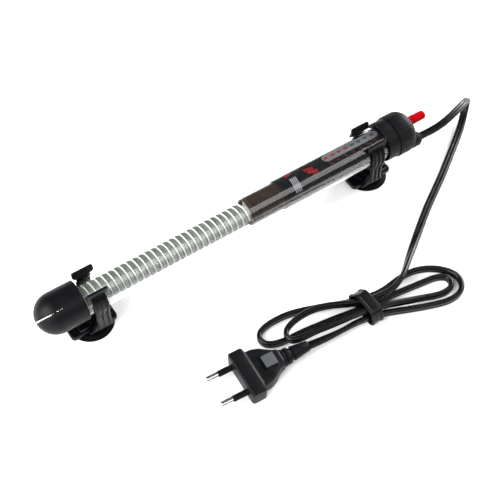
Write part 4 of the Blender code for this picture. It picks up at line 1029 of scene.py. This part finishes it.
def plug_point(along, across, height):
    """In the plug's own directions: along the lead, across the pins, height over the floor."""
    return plug_place @ (Vector((along, across, height)) * MM)


def plug_turned(profile, sides, across=0.0, shape=None):
    return turned(profile, sides,
                  lambda t, c, s: plug_point(t, across + c, PLUG_MID_Z + s), shape)


# half width, half height and corner radius along the plug: the front flange, then the body
FLANGE = [(0.0, 15.0, 5.2, 1.6), (0.25, 15.8, 5.9, 2.0), (0.9, 16.5, 6.6, 2.4),
          (8.3, 16.5, 6.6, 2.4), (9.0, 16.3, 6.4, 2.4), (9.6, 15.7, 6.15, 2.4), (9.9, 14.2, 6.0, 2.4)]
BODY = [(10.2, 13.1, 5.9, 2.4), (13.0, 12.9, 5.9, 2.4), (16.0, 12.2, 5.9, 2.5), (19.0, 10.9, 5.9, 2.6),
        (21.5, 9.2, 5.8, 2.7), (24.0, 7.5, 5.7, 2.8), (26.0, 6.5, 5.5, 3.0), (27.8, 5.95, 5.35, 3.1),
        (28.4, 5.6, 5.0, 3.0)]
PIN_TIP, PIN_HEAD, PIN_ROOT, PIN_R, PIN_PITCH = -18.9, -10.3, 7.5, 2.0, 19.0
PIN_CORE_R, PIN_SLEEVE_BORE_R = 1.35, 1.65
STEP_X, STEP_LEN, STEP_HALF_W, STEP_DEPTH = 14.2, 1.1, 5.2, 0.5  # groove in front of the grey pad


def plug_shell():
    """Flange and body with the bores of the pins and the groove cut out."""
    stations = np.array(FLANGE + [tuple(p) for p in smooth_curve(BODY, 1.0)])
    rings = [[plug_point(d, y, PLUG_MID_Z + z) for y, z in rounded_rectangle(0, 0, w, h, c, 5)]
             for d, w, h, c in stations]
    bores = [plug_turned([(-5, 0), (-5, PIN_SLEEVE_BORE_R), (PIN_ROOT + 0.5, PIN_SLEEVE_BORE_R),
                          (PIN_ROOT + 0.5, 0)], 32, side * PIN_PITCH / 2) for side in (-1, 1)]
    top = PLUG_MID_Z + PLUG_HALF_H
    corners = ((STEP_X, -STEP_HALF_W), (STEP_X + STEP_LEN, -STEP_HALF_W),
               (STEP_X + STEP_LEN, STEP_HALF_W), (STEP_X, STEP_HALF_W))
    groove = [[plug_point(d, y, z) for d, y in corners] for z in (top - STEP_DEPTH, top + 3.1)]
    return carved(joined_rings(rings, closed=False), bores + [joined_rings(groove, closed=False)])


plug = build("plug_shell", PLUG_BLACK, plug_shell(), ["plug_body"])
for letter, side in (("a", 1), ("b", -1)):
    across = side * PIN_PITCH / 2
    pin_profile = [(PIN_TIP, 0), (PIN_TIP + 0.05, 0.7), (PIN_TIP + 0.3, 1.2), (PIN_TIP + 0.8, 1.65),
                   (PIN_TIP + 1.4, 1.9), (PIN_TIP + 2.2, PIN_R), (PIN_HEAD - 0.1, PIN_R),
                   (PIN_HEAD, PIN_R - 0.1), (PIN_HEAD, PIN_CORE_R), (PIN_ROOT, PIN_CORE_R), (PIN_ROOT, 0)]
    build("plug_pin_" + letter, PIN_METAL, plug_turned(pin_profile, 48, across),
                         ["pin_" + letter])
    sleeve_profile = [(PIN_HEAD + 0.3, PIN_SLEEVE_BORE_R), (PIN_HEAD + 0.3, PIN_R - 0.1),
                      (PIN_HEAD + 0.4, PIN_R), (-0.3, PIN_R), (-0.3, PIN_SLEEVE_BORE_R)]
    sleeve = plug_turned(sleeve_profile, 48, across)
    build("plug_pin_sleeve_" + letter, PLUG_BLACK, sleeve,
                         ["pin_sleeve_" + letter])

PAD_X, PAD_LEN, PAD_HALF_W, PAD_T = 20.2, 8.0, 4.2, 0.5
pad_top = PLUG_MID_Z + PLUG_HALF_H + 0.3
pad = slab([rounded_rectangle(0, 0, PAD_LEN / 2, PAD_HALF_W, 0.6)], PAD_T, 0.14,
           lambda u, v, w: plug_point(PAD_X + u, v, pad_top + PAD_T / 2 + w))
build("plug_grey_pad", PAD_GREY, pad, ["plug_pad"])

# rings of the strain relief: from, to, radius at each end, and how deep the grooves between are
RELIEF_RINGS = ((28.8, 30.4, 5.7, 5.7), (31.2, 34.2, 5.5, 5.3), (36.2, 47.6, 4.8, 3.3))
RELIEF_GROOVE, RELIEF_ROUND = 1.0, 0.4
relief_profile = []
for x0, x1, r0, r1 in RELIEF_RINGS:
    relief_profile += [(x0, r0 - RELIEF_GROOVE), (x0, r0 - RELIEF_ROUND), (x0 + 0.12, r0 - 0.12),
                       (x0 + RELIEF_ROUND, r0), (x1 - RELIEF_ROUND, r1), (x1 - 0.12, r1 - 0.12),
                       (x1, r1 - RELIEF_ROUND), (x1, r1 - RELIEF_GROOVE)]
relief_profile = [(RELIEF_RINGS[0][0], 0)] + relief_profile[1:-1] + [(RELIEF_RINGS[-1][1], 0)]


def relief_shape(t, r, a):
    """A little wider than high, like the flat lead."""
    return r * (1.0 - 0.08 * math.sin(a) ** 2)


neck = plug_turned(relief_profile, 64, shape=relief_shape)
build("plug_ringed_neck", PLUG_BLACK, neck, ["plug_strain_relief"])

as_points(cord_path)

# -------- CAD pieces kept inside the tube
KEPT = {
    STEEL: ("thermostat_frame", "magnet", "guide_rod", "adjust_spindle", "core_disc_front",
            "terminal_band_front", "terminal_band_rear"),
    BRASS: ("bimetal_strip", "contact_blade"),
    SILVER: ("contact_moving", "contact_fixed"),
    INSULATOR: ("bimetal_block", "blade_block", "pointer_carriage", "core_disc_rear",
                "lamp_resistor"),
    PALE_WIRE: ("return_lead", "lamp_lead", "lamp_return_lead", "resistor_lead"),
    LAMP: ("neon_lamp",),
    LEAD_COLOUR: ("lead_live", "lead_neutral"),
    STOPPER_BLACK: ("rubber_stopper", "spindle_oring"),
}
for look, nodes in KEPT.items():
    for node in nodes:
        obj = frame["nodes"][node]
        obj.data.materials.clear()
        obj.data.materials.append(look.material)

# -------- floor and light
FLOOR_SIZE, FLOOR_STEPS, FLOOR_Z = 6.0, 8, -0.00005


def floor():
    look = Look("floor", (0.93, 0.93, 0.93), 0.75)
    look.tint(look.ranged(look.noise(400.0, 2.0), 0.3, 0.7, 0.0, 0.3), (0.95, 0.95, 0.95))
    look.shader.inputs["Specular IOR Level"].default_value = 0.1
    sides = np.linspace(-FLOOR_SIZE / 2, FLOOR_SIZE / 2, FLOOR_STEPS + 1)
    verts = [(x, y, FLOOR_Z) for x in sides for y in sides]
    row = FLOOR_STEPS + 1
    corners = [i * row + j for i in range(FLOOR_STEPS) for j in range(FLOOR_STEPS)]
    faces = [(a, a + row, a + row + 1, a + 1) for a in corners]
    mesh = bpy.data.meshes.new("floor")
    mesh.from_pydata(verts, [], faces)
    mesh.materials.append(look.material)
    obj = bpy.data.objects.new("floor", mesh)
    bpy.context.scene.collection.objects.link(obj)


def area_light(name, at, aim, size, power):
    data = bpy.data.lights.new(name, "AREA")
    data.shape = "RECTANGLE"
    data.size, data.size_y = size
    data.energy = power
    obj = bpy.data.objects.new(name, data)
    obj.location = at
    obj.rotation_euler = (Vector(aim) - Vector(at)).to_track_quat("-Z", "Y").to_euler()
    bpy.context.scene.collection.objects.link(obj)


floor()
studio = bpy.data.worlds.new("studio")
studio.use_nodes = True
studio.node_tree.nodes["Background"].inputs["Color"].default_value = (0.96, 0.98, 1.0, 1.0)
studio.node_tree.nodes["Background"].inputs["Strength"].default_value = 0.12
bpy.context.scene.world = studio
# a long soft box along the heater makes the band of light on its glass, two fills light the table
area_light("strip", (0.42, -0.80, 0.98), (0.42, -0.02, 0.03), (1.8, 0.75), 8.5)
area_light("left_fill", (-1.25, -0.05, 0.95), (0.0, -0.03, 0.0), (1.6, 1.4), 64.0)
area_light("right_fill", (1.6, 0.3, 0.7), (0.0, -0.03, 0.0), (1.2, 0.9), 62.0)

# -------- last update of the scene
bpy.context.view_layer.update()
